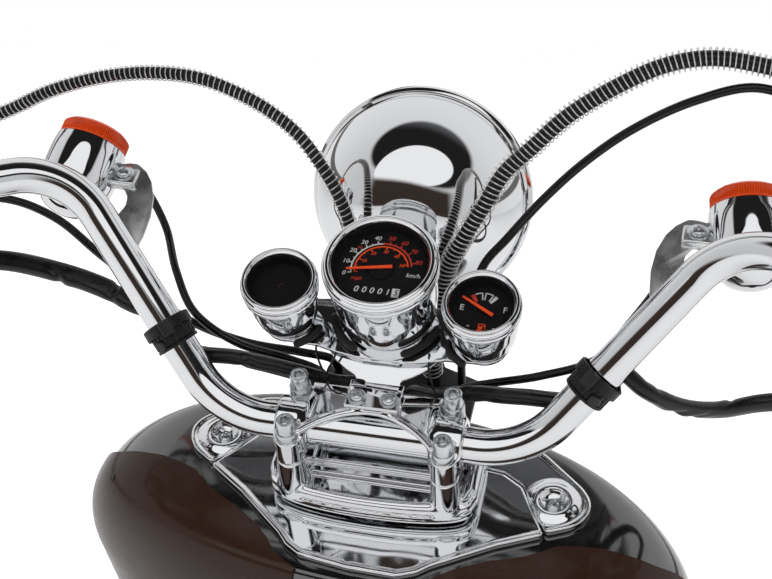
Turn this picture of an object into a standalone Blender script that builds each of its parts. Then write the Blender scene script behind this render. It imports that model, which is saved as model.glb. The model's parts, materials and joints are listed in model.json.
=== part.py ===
"""Cockpit of a small chopper-style motor scooter, built as separate pieces, in metres.

Handlebar, clamp, gauges, headlamp, turn signals, controls, hoses and sleeves turn together on the
stem in the steering head, which carries the collar and the top of the leg shield.

Steering frame: origin in the middle of the handlebar tube, x to the rider's right, y forward and
square to the steering axis, z up along that axis. The world's origin is the middle of the down
tube's cut end, with +Y forward and +Z up.
"""

import math

import bmesh
import bpy
from mathutils import Matrix, Vector

# Steering geometry
rake = math.radians(27.0)  # steering axis, back from upright
steer_turn = math.radians(4.8)  # bars as photographed, turned left
fit = 0.0003  # gap between pieces that touch

# Handlebar
bar_radius = 0.0127
bar_middle = 0.0735  # half of the straight middle
bar_rise = 0.1285  # straight part that climbs
bar_reach = 0.218  # straight part that carries the grip
bar_bend_low = 0.0696
bar_bend_high = 0.0565
rise_azimuth = math.radians(35.9)
rise_elevation = math.radians(42.9)
reach_world = Vector((0.80, -0.58, -0.12))  # outward, back and a little down

# Clamp and yoke
bolt_x = 0.0546
bolt_y = 0.0194
bolt_radius = 0.0065
bolt_top_rear = 0.0258
bolt_top_front = 0.0300
bolt_socket = 0.0052
column_radius = 0.0095
cap_split = -0.013
cap_rear = 0.0075
cap_front = 0.0040
cap_wall = 0.006
riser_width = 0.022
yoke_half = 0.075
yoke_front = 0.044
yoke_rear = -0.032
yoke_top = -0.040
yoke_floor = -0.047
yoke_thick = 0.014
rim_wall = 0.006
bridge_top = 0.016
bridge_thick = 0.006
arch_rise = 0.025  # how far the bridge's rear edge curves forward
arch_middle = 0.0056
bridge_front = 0.026
tab_x = 0.0113
tab_y = 0.0108
tab_top = 0.0235
sheet = 0.003

# Gauges, on axes leaning back from the steering axis
gauge_lean = math.radians(11.9)
speedo_place = Vector((0.0, 0.0559, 0.1115))
speedo_radius = 0.0401
speedo_window = 0.0336
speedo_depth = 0.066
pod_place = Vector((0.0702, 0.0473, 0.0917))
pod_radius = 0.0272
pod_window = 0.0224
bezel_skirt = 0.012
bezel_roll = 0.0035
can_wall = 0.002
dial_drop = 0.007
glass_thick = 0.002
apron_foot = 0.0145  # in front of the tab's screws, where the apron bends up
apron_half = 0.044
tab_half = 0.019

# Headlamp, level in the world
lamp_place = Vector((0.0, 0.1928, 0.0530))
lamp_radius = 0.0836
lamp_depth = 0.082
lamp_wall = 0.002
rim_width = 0.012
lamp_post_y = 0.128
lamp_post_radius = 0.011
lamp_post_top = -0.012

# Turn signals
signal_lens_place = Vector((0.2365, 0.1410, 0.1132))
signal_axis = Vector((-0.137, 0.900, 0.394)).normalized()
signal_lens_radius = 0.0253
signal_bowl_radius = 0.0275
signal_bowl_depth = 0.056
signal_screw_place = Vector((0.2083, 0.1213, 0.1071))
signal_sheet_tilt = math.radians(17.5)  # from level in the steering frame, front up

# Steering head, stem and the way on down
head_top = -0.095
head_bottom = -0.200
head_radius = 0.026
head_bore = 0.0155
stem_radius = 0.013
cup_radius = 0.030
cup_height = 0.014
flange_radius = 0.030
flange_thick = 0.012
down_tube_radius = 0.018
down_tube_back = -0.064  # behind the steering axis, where it runs beside that axis
down_tube_end = 0.296  # below the handlebar's middle, in the world

# Collar, leg shield and knee panels, square to the steering axis
collar_top = -0.060
collar_thick = 0.0055
seam = 0.0012
well_x = 0.1254
well_y = 0.0189
well_radius = 0.0115
well_depth = 0.0045
shield_top = collar_top - collar_thick - fit
shield_flat_half = 0.158
shield_flat_front = 0.080
shield_flat_rear = 0.078
shield_half = 0.234
shield_shoulder = 0.080
shield_swell = 0.016  # how far front and rear stand out below the shoulder
shield_square = (2.6, 2.1)  # superellipse exponents of the flat top and below the shoulder
shield_bottom = -0.262
shield_wall = 0.004
shield_taper = 0.015
shoulder_start = 0.25
shoulder_end = 0.65
panel_thick = 0.0025
panel_gap = 0.0009

# Controls
grip_length = 0.118
grip_radius = 0.0165
lever_world = Vector((0.0, 1.0, -0.25))  # forward and a little down from the bar
lever_gap = 0.050  # bar's middle to the lever's
lever_radius = 0.0055
housing_length = 0.036
holder_length = 0.024

ROUND = 20
FINE = 24


def clear_scene():
    """Empty the scene that the file opens with."""
    for item in list(bpy.data.objects):
        bpy.data.objects.remove(item, do_unlink=True)


clear_scene()
parts = bpy.data.collections.new("scooter cockpit")
cutters = bpy.data.collections.new("cutters")
for group in (parts, cutters):
    bpy.context.scene.collection.children.link(group)


def material(name, rgb, roughness, metallic):
    """A Principled material of one colour."""
    look = bpy.data.materials.new(name)
    look.use_nodes = True
    shader = look.node_tree.nodes["Principled BSDF"]
    shader.inputs["Base Color"].default_value = (*rgb, 1.0)
    shader.inputs["Roughness"].default_value = roughness
    shader.inputs["Metallic"].default_value = metallic
    look.diffuse_color = (*rgb, 1.0)
    return look


chrome = material("chrome plate", (0.80, 0.80, 0.81), 0.06, 1.0)
zinc = material("zinc plated steel", (0.62, 0.63, 0.63), 0.28, 1.0)
black_gloss = material("black gloss plastic", (0.012, 0.012, 0.013), 0.12, 0.0)
black_matt = material("black matt plastic", (0.02, 0.02, 0.02), 0.55, 0.0)
rubber = material("black rubber", (0.015, 0.015, 0.015), 0.7, 0.0)
black_steel = material("black painted steel", (0.02, 0.02, 0.02), 0.4, 0.3)
dial_face = material("dial print", (0.01, 0.01, 0.012), 0.5, 0.0)
orange = material("orange plastic", (0.9, 0.15, 0.01), 0.3, 0.0)
clear = material("clear plastic", (0.9, 0.9, 0.9), 0.05, 0.0)


def empty(name, parent, place, turn=(0.0, 0.0, 0.0)):
    """A frame to hang pieces on."""
    frame = bpy.data.objects.new(name, None)
    parts.objects.link(frame)
    frame.parent = parent
    frame.location = place
    frame.rotation_euler = turn
    return frame


down_tube_depth = (down_tube_end + down_tube_back * math.sin(rake)) / math.cos(rake)
down_tube_ahead = down_tube_back * math.cos(rake) + down_tube_depth * math.sin(rake)
bar_middle_world = Vector((0.0, -down_tube_ahead, down_tube_end))
body_frame = empty("body_frame", None, bar_middle_world, (rake, 0.0, 0.0))
steering_frame = empty("steering_frame", body_frame, (0.0, 0.0, 0.0), (0.0, 0.0, steer_turn))


def lean(direction):
    """A world direction, in a frame that leans back by the rake."""
    return Matrix.Rotation(-rake, 3, "X") @ Vector(direction).normalized()


def aim(direction, up=(0.0, 0.0, 1.0)):
    """Rotation whose z runs along direction and whose x is level with up as nearly as it can be."""
    z = Vector(direction).normalized()
    x = Vector(up).cross(z)
    if x.length < 1e-6:
        x = Vector((1.0, 0.0, 0.0))
    x.normalize()
    return Matrix((x, z.cross(x), z)).transposed().to_euler()


def place_object(name, data, parent, look, place, turn, group):
    """Link an object, hang it on its frame and give it its material."""
    item = bpy.data.objects.new(name, data)
    group.objects.link(item)
    item.parent = parent
    item.location = place
    item.rotation_euler = turn
    if look:
        data.materials.append(look)
    if group is cutters:
        item.hide_render = True
        item.display_type = "WIRE"
    return item


def turned(name, profile, parent, look, place=(0, 0, 0), turn=(0, 0, 0), steps=ROUND, group=parts, ring=False):
    """Revolve a (radius, height) profile that runs down its outer side; ring closes it on itself."""
    mesh = bpy.data.meshes.new(name)
    count = len(profile)
    pairs = [(k, (k + 1) % count) for k in range(count if ring else count - 1)]
    edges = [(a, b) for a, b in pairs if profile[a][0] or profile[b][0]]
    mesh.from_pydata([(radius, 0.0, height) for radius, height in profile], edges, [])
    item = place_object(name, mesh, parent, look, place, turn, group)
    screw = item.modifiers.new("turn", "SCREW")
    screw.steps = steps
    screw.render_steps = steps
    screw.use_merge_vertices = True
    screw.merge_threshold = 0.00001
    screw.use_normal_calculate = False
    screw.use_smooth_shade = True
    return item


def primitive(name, parent, look, place, turn, group, make):
    """An object whose mesh is made by one bmesh call."""
    work = bmesh.new()
    make(work)
    mesh = bpy.data.meshes.new(name)
    work.to_mesh(mesh)
    work.free()
    return place_object(name, mesh, parent, look, place, turn, group)


def box(name, size, parent, look, place=(0, 0, 0), turn=(0, 0, 0), group=parts, rounding=0.0):
    """A box of full size along x, y and z, its edges rounded if asked."""
    item = primitive(
        name, parent, look, place, turn, group,
        lambda work: bmesh.ops.create_cube(work, size=1.0, matrix=Matrix.Diagonal((*size, 1.0))),
    )
    if rounding:
        bevel(item, rounding)
    return item


def cylinder(name, radius, height, parent, look, place=(0, 0, 0), turn=(0, 0, 0), group=parts, sides=ROUND, end=None):
    """A cylinder, or a cone to another end radius, standing on its place along z."""
    end = radius if end is None else end
    return primitive(
        name, parent, look, place, turn, group,
        lambda work: bmesh.ops.create_cone(
            work, cap_ends=True, segments=sides, radius1=radius, radius2=end, depth=height,
            matrix=Matrix.Translation((0.0, 0.0, height / 2)),
        ),
    )


def bevel(item, width, segments=1, angle=math.radians(35)):
    """Round an object's sharp edges."""
    rounding = item.modifiers.new("rounding", "BEVEL")
    rounding.width = width
    rounding.segments = segments
    rounding.limit_method = "ANGLE"
    rounding.angle_limit = angle
    rounding.use_clamp_overlap = True
    return item


def tube(name, points, radius, parent, look, resolution=3, group=parts):
    """A round bar along points, with filled ends."""
    curve = bpy.data.curves.new(name, "CURVE")
    curve.dimensions = "3D"
    curve.bevel_depth = radius
    curve.bevel_resolution = resolution
    curve.use_fill_caps = True
    curve.twist_mode = "MINIMUM"
    spline = curve.splines.new("POLY")
    spline.points.add(len(points) - 1)
    for point, place in zip(spline.points, points):
        point.co = (*place, 1.0)
    return place_object(name, curve, parent, look, (0, 0, 0), (0, 0, 0), group)


def plate(name, outlines, thickness, parent, look, place=(0, 0, 0), turn=(0, 0, 0), group=parts):
    """A flat sheet between outlines in x and y, centred on its place; inner outlines are holes."""
    curve = bpy.data.curves.new(name, "CURVE")
    curve.dimensions = "2D"
    curve.fill_mode = "BOTH"
    curve.extrude = thickness / 2
    for outline in outlines:
        spline = curve.splines.new("POLY")
        spline.points.add(len(outline) - 1)
        spline.use_cyclic_u = True
        for point, (x, y) in zip(spline.points, outline):
            point.co = (x, y, 0.0, 1.0)
    return to_mesh(place_object(name, curve, parent, look, place, turn, group))


def to_mesh(item):
    """Replace a curve by its mesh, with the caps welded on."""
    bpy.context.view_layer.update()
    seen = item.evaluated_get(bpy.context.evaluated_depsgraph_get())
    mesh = bpy.data.meshes.new_from_object(seen)
    work = bmesh.new()
    work.from_mesh(mesh)
    bmesh.ops.remove_doubles(work, verts=work.verts, dist=0.00001)
    bmesh.ops.recalc_face_normals(work, faces=work.faces)
    work.to_mesh(mesh)
    work.free()
    name, group, parent = item.name, item.users_collection[0], item.parent
    place, turn = item.location.copy(), item.rotation_euler.copy()
    bpy.data.objects.remove(item, do_unlink=True)
    return place_object(name, mesh, parent, None, place, turn, group)


def combine(item, other, operation):
    """Join another solid to this one, or cut it away."""
    step = item.modifiers.new(operation.lower(), "BOOLEAN")
    step.operation = operation
    step.solver = "EXACT"
    step.object = other
    return item


def join(item, *others):
    """Fuse solids into one piece."""
    for other in others:
        combine(item, other, "UNION")
    return item


def cut(item, *others):
    """Cut solids out of a piece."""
    for other in others:
        combine(item, other, "DIFFERENCE")
    return item


def arc(centre, radius, start, end, count):
    """Points on an arc in a plane, angles in degrees."""
    angles = [math.radians(start + (end - start) * k / count) for k in range(count + 1)]
    return [(centre[0] + radius * math.cos(a), centre[1] + radius * math.sin(a)) for a in angles]


def mirrored(half):
    """A closed outline from its right half, listed from front to rear."""
    return list(half) + [(-x, y) for x, y in reversed(half) if abs(x) > 1e-6]


def hull(circles, steps=6):
    """Outline of a belt round two circles (x, y, radius) that lie along x."""
    (x1, _, r1), (x2, _, r2) = circles
    lean_angle = math.degrees(math.acos((r1 - r2) / (x2 - x1)))
    return arc((x1, 0), r1, lean_angle, 360 - lean_angle, 2 * steps) + arc((x2, 0), r2, -lean_angle, lean_angle, steps)


def smooth(points, spacing):
    """A curve through points, read at about the given spacing (Catmull-Rom, centripetal)."""
    nodes = [Vector(p) for p in points]
    nodes = [2 * nodes[0] - nodes[1]] + nodes + [2 * nodes[-1] - nodes[-2]]
    route = []
    for k in range(1, len(nodes) - 2):
        a, b, c, d = nodes[k - 1 : k + 3]
        knots = [0.0]
        for p, q in ((a, b), (b, c), (c, d)):
            knots.append(knots[-1] + math.sqrt((q - p).length))
        count = max(1, round((c - b).length / spacing))
        for step in range(count):
            t = knots[1] + (knots[2] - knots[1]) * step / count
            ab = a.lerp(b, (t - knots[0]) / (knots[1] - knots[0]))
            bc = b.lerp(c, (t - knots[1]) / (knots[2] - knots[1]))
            cd = c.lerp(d, (t - knots[2]) / (knots[3] - knots[2]))
            abc = ab.lerp(bc, (t - knots[0]) / (knots[2] - knots[0]))
            bcd = bc.lerp(cd, (t - knots[1]) / (knots[3] - knots[1]))
            route.append(abc.lerp(bcd, (t - knots[1]) / (knots[2] - knots[1])))
    return route + [nodes[-2]]


# Handlebar
rise = Vector((
    math.cos(rise_elevation) * math.cos(rise_azimuth),
    math.cos(rise_elevation) * math.sin(rise_azimuth),
    math.sin(rise_elevation),
))
reach = lean(reach_world)
SIDES = {"left": -1, "right": 1}


def flip(vector, side):
    """The same vector on the other side of the scooter."""
    return Vector((side * vector[0], vector[1], vector[2]))


def bend(start, before, after, radius, count=7):
    """Points round a bend that turns one direction into another."""
    angle = before.angle(after)
    inward = (after - before.dot(after) * before).normalized()
    return [
        start + radius * (math.sin(angle * k / count) * before + (1 - math.cos(angle * k / count)) * inward)
        for k in range(1, count + 1)
    ]


def half_bar():
    """The right half of the bar's centre line, and where its straight parts start."""
    across = Vector((1.0, 0.0, 0.0))
    line = [across * bar_middle]
    line += bend(line[-1], across, rise, bar_bend_low)
    low = line[-1]
    line.append(low + rise * bar_rise)
    line += bend(line[-1], rise, reach, bar_bend_high)
    high = line[-1]
    line.append(high + reach * bar_reach)
    return line, low, high


def bar_tube(name, radius, look, group=parts):
    """A round bar along the whole handlebar's centre line."""
    line, _, _ = half_bar()
    points = [flip(p, -1) for p in reversed(line)] + line
    return tube(name, points, radius, steering_frame, look, resolution=4, group=group)


bar_tube("handlebar", bar_radius, chrome)


starts = {}


def controls():
    """Grip, lever holder, lever and switch or throttle housing at each end of the bar."""
    _, _, high = half_bar()
    end = high + reach * bar_reach
    for word, side in SIDES.items():
        axis = flip(reach, side)
        level = lean(lever_world)
        forward = (level - level.dot(axis) * axis).normalized()
        upward = side * axis.cross(forward)
        turn = Matrix((forward, axis.cross(forward), axis)).transposed().to_euler()
        frame = empty(f"{word}_bar_end", steering_frame, flip(end, side), turn)
        spot = flip(end, side)
        housing_middle = spot - axis * (grip_length + 0.003 + housing_length / 2)
        holder_middle = spot - axis * (grip_length + 0.006 + housing_length + holder_length / 2)
        starts[word] = {
            "hose": holder_middle - axis * 0.004 + forward * (lever_gap + fit),
            "cable": holder_middle - upward * (bar_radius + 0.006),
            "throttle": housing_middle + forward * 0.010 - upward * (bar_radius + 0.0086),
            "sleeve": housing_middle - forward * 0.014 - upward * 0.0295,
            "forward": forward,
            "upward": upward,
        }
        grip(word, frame)
        lever_set(word, frame, side)


def grip(word, frame):
    """Rubber sleeve with a closed end and a collar at its inner end."""
    inner, wall = bar_radius + fit, grip_radius
    profile = [
        (0.0, 0.004), (wall - 0.002, 0.004), (wall + 0.001, 0.0), (wall, -0.006), (wall, -grip_length + 0.006),
        (wall + 0.004, -grip_length + 0.004), (wall + 0.004, -grip_length), (inner, -grip_length), (inner, fit),
        (0.0, fit),
    ]
    turned(f"{word}_grip", profile, frame, rubber, steps=16)


def lever_set(word, frame, side):
    """Holder clamped on the bar with its lever, and the housing inboard of the grip."""
    hole = bar_radius + fit
    housing_end = -grip_length - 0.003 - housing_length
    housing = cylinder(
        f"{word}_switch_housing", hole + 0.009, housing_length, frame, black_matt, (0, 0, housing_end), sides=24,
    )
    bevel(housing, 0.002)
    lump = box(
        f"{word}_switch_body", (0.030, 0.030, housing_length - 0.004), frame, None,
        (-0.012, -side * 0.014, housing_end + housing_length / 2), group=cutters, rounding=0.004,
    )
    cut(join(housing, lump), bar_hole(word, frame, "switch", housing_end, housing_length))
    holder_end = housing_end - 0.003 - holder_length
    holder = cylinder(
        f"{word}_lever_holder", hole + 0.005, holder_length, frame, chrome, (0, 0, holder_end), sides=24,
    )
    pivot = Vector((lever_gap, 0.0, holder_end + holder_length / 2))
    arm = box(
        f"{word}_holder_arm", (pivot.x, 0.018, holder_length - 0.004), frame, None, (pivot.x / 2, 0.0, pivot.z),
        group=cutters, rounding=0.003,
    )
    cut(join(holder, arm), bar_hole(word, frame, "holder", holder_end, holder_length))
    lever_points = smooth(
        [(pivot.x - 0.004, 0.0, pivot.z + holder_length / 2 - 0.002 + fit), (lever_gap, 0.0, pivot.z + 0.032),
         (lever_gap + 0.002, 0.0, pivot.z + 0.090), (lever_gap + 0.008, 0.0, pivot.z + 0.170)],
        0.020,
    )
    lever = to_mesh(tube(f"{word}_brake_lever", lever_points, lever_radius, frame, chrome, resolution=2))
    ball = primitive(
        f"{word}_lever_ball", frame, None, lever_points[-1], (0, 0, 0), cutters,
        lambda work: bmesh.ops.create_uvsphere(work, u_segments=10, v_segments=6, radius=0.0085),
    )
    join(lever, ball)


def bar_hole(word, frame, what, end, length):
    """Cutter for the bar's hole through a clamped piece."""
    return cylinder(
        f"{word}_{what}_bar_hole", bar_radius + fit, length + 0.02, frame, None, (0, 0, end - 0.01),
        group=cutters, sides=24,
    )


controls()


def yoke_outline(inset):
    """D-shaped plan of the yoke with a gently arched rear edge."""
    half, corner = yoke_half - inset, 0.012
    front, rear = yoke_front - inset, yoke_rear + inset
    side_rear = rear + 0.016
    count = 6
    rear_arc = [
        (half * 0.97 * math.sin(math.pi / 2 * k / count), rear + (side_rear - rear) * (k / count) ** 2)
        for k in range(count + 1)
    ]
    right = [(half - corner, front), (half - corner * 0.3, front - corner * 0.3), (half, front - corner)]
    return mirrored([*right, *reversed(rear_arc)])


def yoke():
    """Top yoke casting: a rimmed plate with risers and columns under the bar, and the stem's flange."""
    base = plate("yoke", [yoke_outline(0.0)], yoke_thick, steering_frame, chrome, (0, 0, yoke_top - yoke_thick / 2))
    bevel(base, 0.0025)
    pocket = plate(
        "yoke_pocket", [yoke_outline(rim_wall)], 0.03, steering_frame, None,
        (0, 0, yoke_floor + 0.015), group=cutters,
    )
    cut(base, pocket)
    height = cap_split - fit - yoke_floor + 0.002
    for word, side in SIDES.items():
        riser = box(
            f"{word}_riser", (riser_width, 2 * bolt_y, height), steering_frame, None,
            (side * bolt_x, 0, yoke_floor - 0.002 + height / 2), group=cutters,
        )
        join(base, riser)
        for place, row in (("rear", -1), ("front", 1)):
            column = cylinder(
                f"{word}_{place}_column", column_radius + 0.0015, height, steering_frame, None,
                (side * bolt_x, row * bolt_y, yoke_floor - 0.002), group=cutters, sides=12, end=column_radius,
            )
            join(base, column)
    inner = bolt_x - riser_width / 2 + 0.002
    web = box(
        "yoke_web", (2 * inner, 0.008, 0.030), steering_frame, None,
        (0, bolt_y + 0.002, yoke_floor - 0.002 + 0.015), group=cutters,
    )
    step = box(
        "yoke_step", (2 * inner, 0.018, 0.010), steering_frame, None,
        (0, 0.010, yoke_floor - 0.002 + 0.005), group=cutters, rounding=0.001,
    )
    join(base, web, step)
    cut(base, cylinder(
        "bar_seat", bar_radius + fit, 0.2, steering_frame, None, (-0.1, 0, 0), (0, math.pi / 2, 0), group=cutters,
        sides=ROUND,
    ))
    stem_top = yoke_top - yoke_thick + 0.001
    stem = stem_shape(stem_top)
    return join(base, stem)


def stem_shape(top):
    """Steering stem with its nut, lower race and the flange that takes the fork."""
    nut_top, nut_bottom = head_top + 0.018, head_top + fit
    race_top = head_bottom - fit
    flange_top = race_top - 0.008
    profile = [
        (0.0, top), (0.024, top), (0.020, top - 0.006), (stem_radius, top - 0.012), (stem_radius, nut_top),
        (0.019, nut_top), (0.019, nut_bottom), (stem_radius, nut_bottom), (stem_radius, race_top),
        (0.022, race_top), (0.024, flange_top), (flange_radius, flange_top),
        (flange_radius, flange_top - flange_thick), (0.0, flange_top - flange_thick),
    ]
    return turned("steering_stem", profile, steering_frame, None, group=cutters, steps=ROUND)


yoke()


def socket_bolt(name, top, seat, place):
    """Socket head screw standing on its sleeve, with a hexagon in its head, to be joined to its seat."""
    head = 0.0115
    sunk = 0.002
    profile = [
        (0.0, top), (bolt_radius - 0.0008, top), (bolt_radius, top - 0.0008), (bolt_radius, top - head),
        (bolt_radius + 0.0010, top - head), (bolt_radius + 0.0010, seat - sunk), (0.0, seat - sunk),
    ]
    bolt = turned(name, profile, steering_frame, None, (*place, 0.0), steps=10, group=cutters)
    return cut(bolt, cylinder(
        f"{name}_hexagon", bolt_socket / math.sqrt(3) * 1.15, 0.01, steering_frame, None, (*place, top - 0.005),
        group=cutters, sides=6,
    ))


def top_clamp():
    """One-piece cap over both risers, bridged by a plate with an arched rear edge, with its bolts."""
    outer = bar_radius + cap_wall
    section = arc((0, 0), outer, 0, 180, 8)
    base_height = cap_split + fit
    half = bolt_y + 0.004
    section = [(half, base_height), (half, 0.0)] + section[1:-1] + [(-half, 0.0), (-half, base_height)]
    block = plate(
        "top_clamp", [section], riser_width, steering_frame, chrome, (-bolt_x, 0, 0), (math.pi / 2, 0, math.pi / 2),
    )
    other = plate(
        "right_cap", [section], riser_width, steering_frame, None, (bolt_x, 0, 0), (math.pi / 2, 0, math.pi / 2),
        group=cutters,
    )
    join(block, other)
    for word, side in SIDES.items():
        for place, row, top, head in (("rear", -1, cap_rear, bolt_top_rear), ("front", 1, cap_front, bolt_top_front)):
            spot = (side * bolt_x, row * bolt_y)
            join(block, cylinder(
                f"{word}_{place}_boss", column_radius, top - base_height, steering_frame, None,
                (*spot, base_height), group=cutters, sides=12,
            ), socket_bolt(f"{word}_{place}_clamp_bolt", head, top, spot))
    inner = bolt_x - riser_width / 2 + 0.003
    count = 10
    arch = [
        (inner * (1 - 2 * k / count), arch_middle - arch_rise * (1 - 2 * k / count) ** 2) for k in range(count + 1)
    ]
    bridge = plate(
        "bridge", [[(-inner, bridge_front), (inner, bridge_front), *arch]], bridge_thick, steering_frame, None,
        (0, 0, bridge_top - bridge_thick / 2), group=cutters,
    )
    bevel(bridge, 0.0018)
    join(block, bridge)
    post_top = tab_top - sheet - fit
    for word, side in SIDES.items():
        join(block, cylinder(
            f"{word}_tab_post", 0.0062, post_top - bridge_top + 0.002, steering_frame, None,
            (side * tab_x, tab_y, bridge_top - 0.002), group=cutters, sides=16,
        ))
    return cut(block, cylinder(
        "cap_bore", bar_radius + fit, 0.2, steering_frame, None, (-0.1, 0, 0), (0, math.pi / 2, 0), group=cutters,
        sides=ROUND,
    ))


top_clamp()


def pan_screw(name, parent, place, turn=(0, 0, 0), radius=0.0050):
    """Pan head screw with its washer, sunk a little to be joined to its seat."""
    profile = [
        (0.0, 0.0045), (radius * 0.55, 0.0042), (radius * 0.88, 0.0030), (radius, 0.0012), (radius, 0.0010),
        (radius * 1.25, 0.0010), (radius * 1.25, -0.0010), (0.0, -0.0010),
    ]
    return turned(name, profile, parent, None, place, turn, steps=10, group=cutters)


def gauge_frame(name, place):
    """Frame of one gauge: z out of its dial, towards the rider."""
    return empty(name, steering_frame, place, (gauge_lean, 0.0, 0.0))


speedo_frame = gauge_frame("speedo_frame", speedo_place)
gauge_normal = Matrix.Rotation(gauge_lean, 3, "X") @ Vector((0.0, 0.0, 1.0))
pod_depth = gauge_normal.dot(pod_place - speedo_place) + speedo_depth


def gauge(word, frame, outer, window, depth, steps):
    """Chromed can, rolled bezel, dial and glass of one round gauge."""
    body = outer - 0.002
    wall = can_wall
    foot = depth - 0.010
    can = [
        (body, -bezel_skirt - fit), (body - 0.001, -depth * 0.5), (body - 0.003, -foot), (body - 0.009, -depth),
        (0.0, -depth), (0.0, -depth + wall), (body - 0.009 - wall / 2, -depth + wall),
        (body - 0.003 - wall, -foot), (body - wall, -bezel_skirt - fit),
    ]
    turned(f"{word}_can", can, frame, chrome, steps=steps, ring=True)
    roll = bezel_roll
    bezel = [
        (window, 0.0), (window + roll, roll * 0.6), (outer - roll, roll * 0.3), (outer, -roll),
        (outer, -bezel_skirt), (body - 0.0012, -bezel_skirt), (body - 0.0012, -dial_drop), (window, -dial_drop + 0.003),
    ]
    turned(f"{word}_bezel", bezel, frame, chrome, steps=steps, ring=True)
    face = body - 0.0012 - fit
    dial_top = -dial_drop - fit
    turned(
        f"{word}_dial", [(0.0, dial_top), (face, dial_top), (face, dial_top - 0.0025), (0.0, dial_top - 0.0025)],
        frame, dial_face, steps=steps,
    )
    glass_edge = window - fit
    turned(
        f"{word}_glass",
        [(0.0, -0.001), (glass_edge, -0.001), (glass_edge, -0.001 - glass_thick), (0.0, -0.001 - glass_thick)],
        frame, clear, steps=steps,
    )
    dial_tops[word] = dial_top


dial_tops = {}
pod_frames = {}
gauge("speedo", speedo_frame, speedo_radius, speedo_window, speedo_depth, FINE)
for word, side in SIDES.items():
    pod_frames[word] = gauge_frame(f"{word}_pod_frame", flip(pod_place, side))
    gauge(f"{word}_pod", pod_frames[word], pod_radius, pod_window, pod_depth, ROUND)


def gauge_bracket():
    """Chromed sheet under the three gauges, with its apron down to the tab on the top clamp."""
    level = -speedo_depth - fit - sheet / 2
    hub, rear = 0.026, -0.037
    lobe = 0.018
    wing = pod_place.x
    drop = (Matrix.Rotation(-gauge_lean, 3, "X") @ (pod_place - speedo_place)).y
    right = (
        arc((0, 0), hub, 90, 25, 5)
        + arc((wing, drop), lobe, 100, -100, 8)
        + [(wing * 0.66, rear + 0.006), (wing * 0.43, rear + 0.002), (wing * 0.24, rear)]
    )
    wings = plate("gauge_bracket", [mirrored(right)], sheet, speedo_frame, chrome, (0, 0, level))
    lip_half, lip_high = 0.0145, 0.005
    lip = box(
        "bracket_lip", (2 * lip_half, sheet * 0.8, lip_high), speedo_frame, None,
        (0, rear + sheet * 0.5, level - lip_high / 2 + sheet / 4), group=cutters,
    )
    low = Vector((0.0, tab_y + apron_foot, tab_top - sheet / 2))
    high = speedo_place + Matrix.Rotation(gauge_lean, 3, "X") @ Vector((0.0, 0.004, level))
    span = high - low
    foot = apron_half - 0.028
    sides = [(foot, -0.0016), (foot, 0.004), (foot + 0.008, 0.008), (foot + 0.017, 0.014), (foot + 0.024, 0.022),
             (apron_half, 0.030), (apron_half, span.length - 0.0012)]
    apron = plate(
        "bracket_apron", [[(-x, y) for x, y in sides] + [(x, y) for x, y in reversed(sides)]], sheet, steering_frame,
        None, low, (math.atan2(span.z, span.y), 0, 0), group=cutters,
    )
    tab_rear = 0.008
    tab = box(
        "bracket_tab", (2 * tab_half, tab_rear + apron_foot, sheet), steering_frame, None,
        (0, tab_y + (apron_foot - tab_rear) / 2, tab_top - sheet / 2), group=cutters,
    )
    join(wings, lip, apron, tab)
    for word, side in SIDES.items():
        join(wings, pan_screw(f"{word}_bracket_screw", steering_frame, (side * tab_x, tab_y, tab_top)))


gauge_bracket()


def needle(word, frame, length, middle, angle, top):
    """Flat pointer on its hub, lying over a dial at an angle from the rider's right."""
    width, thick, hub_radius, hub_high = 0.0016, 0.0008, 0.0045, 0.0020
    away = Vector((math.cos(angle), math.sin(angle), 0.0))
    pointer = box(
        f"{word}_needle", (length, width, thick), frame, orange, middle * away + Vector((0, 0, top + fit + thick / 2)),
        (0, 0, angle),
    )
    return join(pointer, cylinder(
        f"{word}_needle_hub", hub_radius * min(1.0, length / 0.030), hub_high, frame, None, (0, 0, top + fit),
        group=cutters, sides=16,
    ))


needle("speedo", speedo_frame, 0.030, 0.011, math.pi, dial_tops["speedo"])
needle("right_pod", pod_frames["right"], 0.020, 0.0065, math.radians(148), dial_tops["right_pod"])


def headlamp():
    """Deep chromed bowl on a post, with its rim ring and domed lens."""
    rear = lean((0, -1, 0))
    frame = empty("headlamp_frame", steering_frame, lamp_place, aim(-rear))
    body = lamp_radius - 0.004
    rear_steps = 6

    def shell(radius, depth, front):
        curve = [
            (radius * math.cos(math.pi / 2 * k / rear_steps) ** 0.75, -depth * math.sin(math.pi / 2 * k / rear_steps))
            for k in range(1, rear_steps)
        ]
        return [(0.0, front), (radius, front)] + curve + [(0.0, -depth)]

    lip = -rim_width - fit
    bowl = turned("headlamp_bowl", shell(body, lamp_depth, lip), frame, chrome, steps=FINE)
    post = cylinder(
        "lamp_post", lamp_post_radius, 0.05, steering_frame, None, (0, lamp_post_y, lamp_post_top), group=cutters,
    )
    inside = turned(
        "lamp_inside", shell(body - lamp_wall, lamp_depth - lamp_wall, lip + 0.01), frame, None, group=cutters,
        steps=FINE,
    )
    cut(join(bowl, post), inside)
    inner = lamp_radius - 0.011
    ring = [
        (inner, 0.004), (lamp_radius - 0.002, 0.002), (lamp_radius, -0.003), (lamp_radius, -rim_width),
        (body - 0.003, -rim_width), (body - 0.003, -0.004), (inner, -0.003),
    ]
    turned("headlamp_rim", ring, frame, chrome, steps=FINE, ring=True)
    edge = inner - fit
    dome = [(0.0, 0.012), (edge * 0.35, 0.0112), (edge * 0.7, 0.008), (edge, 0.001), (edge, -0.002),
            (edge * 0.7, 0.005), (edge * 0.35, 0.0082), (0.0, 0.009)]
    turned("headlamp_lens", dome, frame, clear, steps=FINE)


headlamp()


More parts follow.
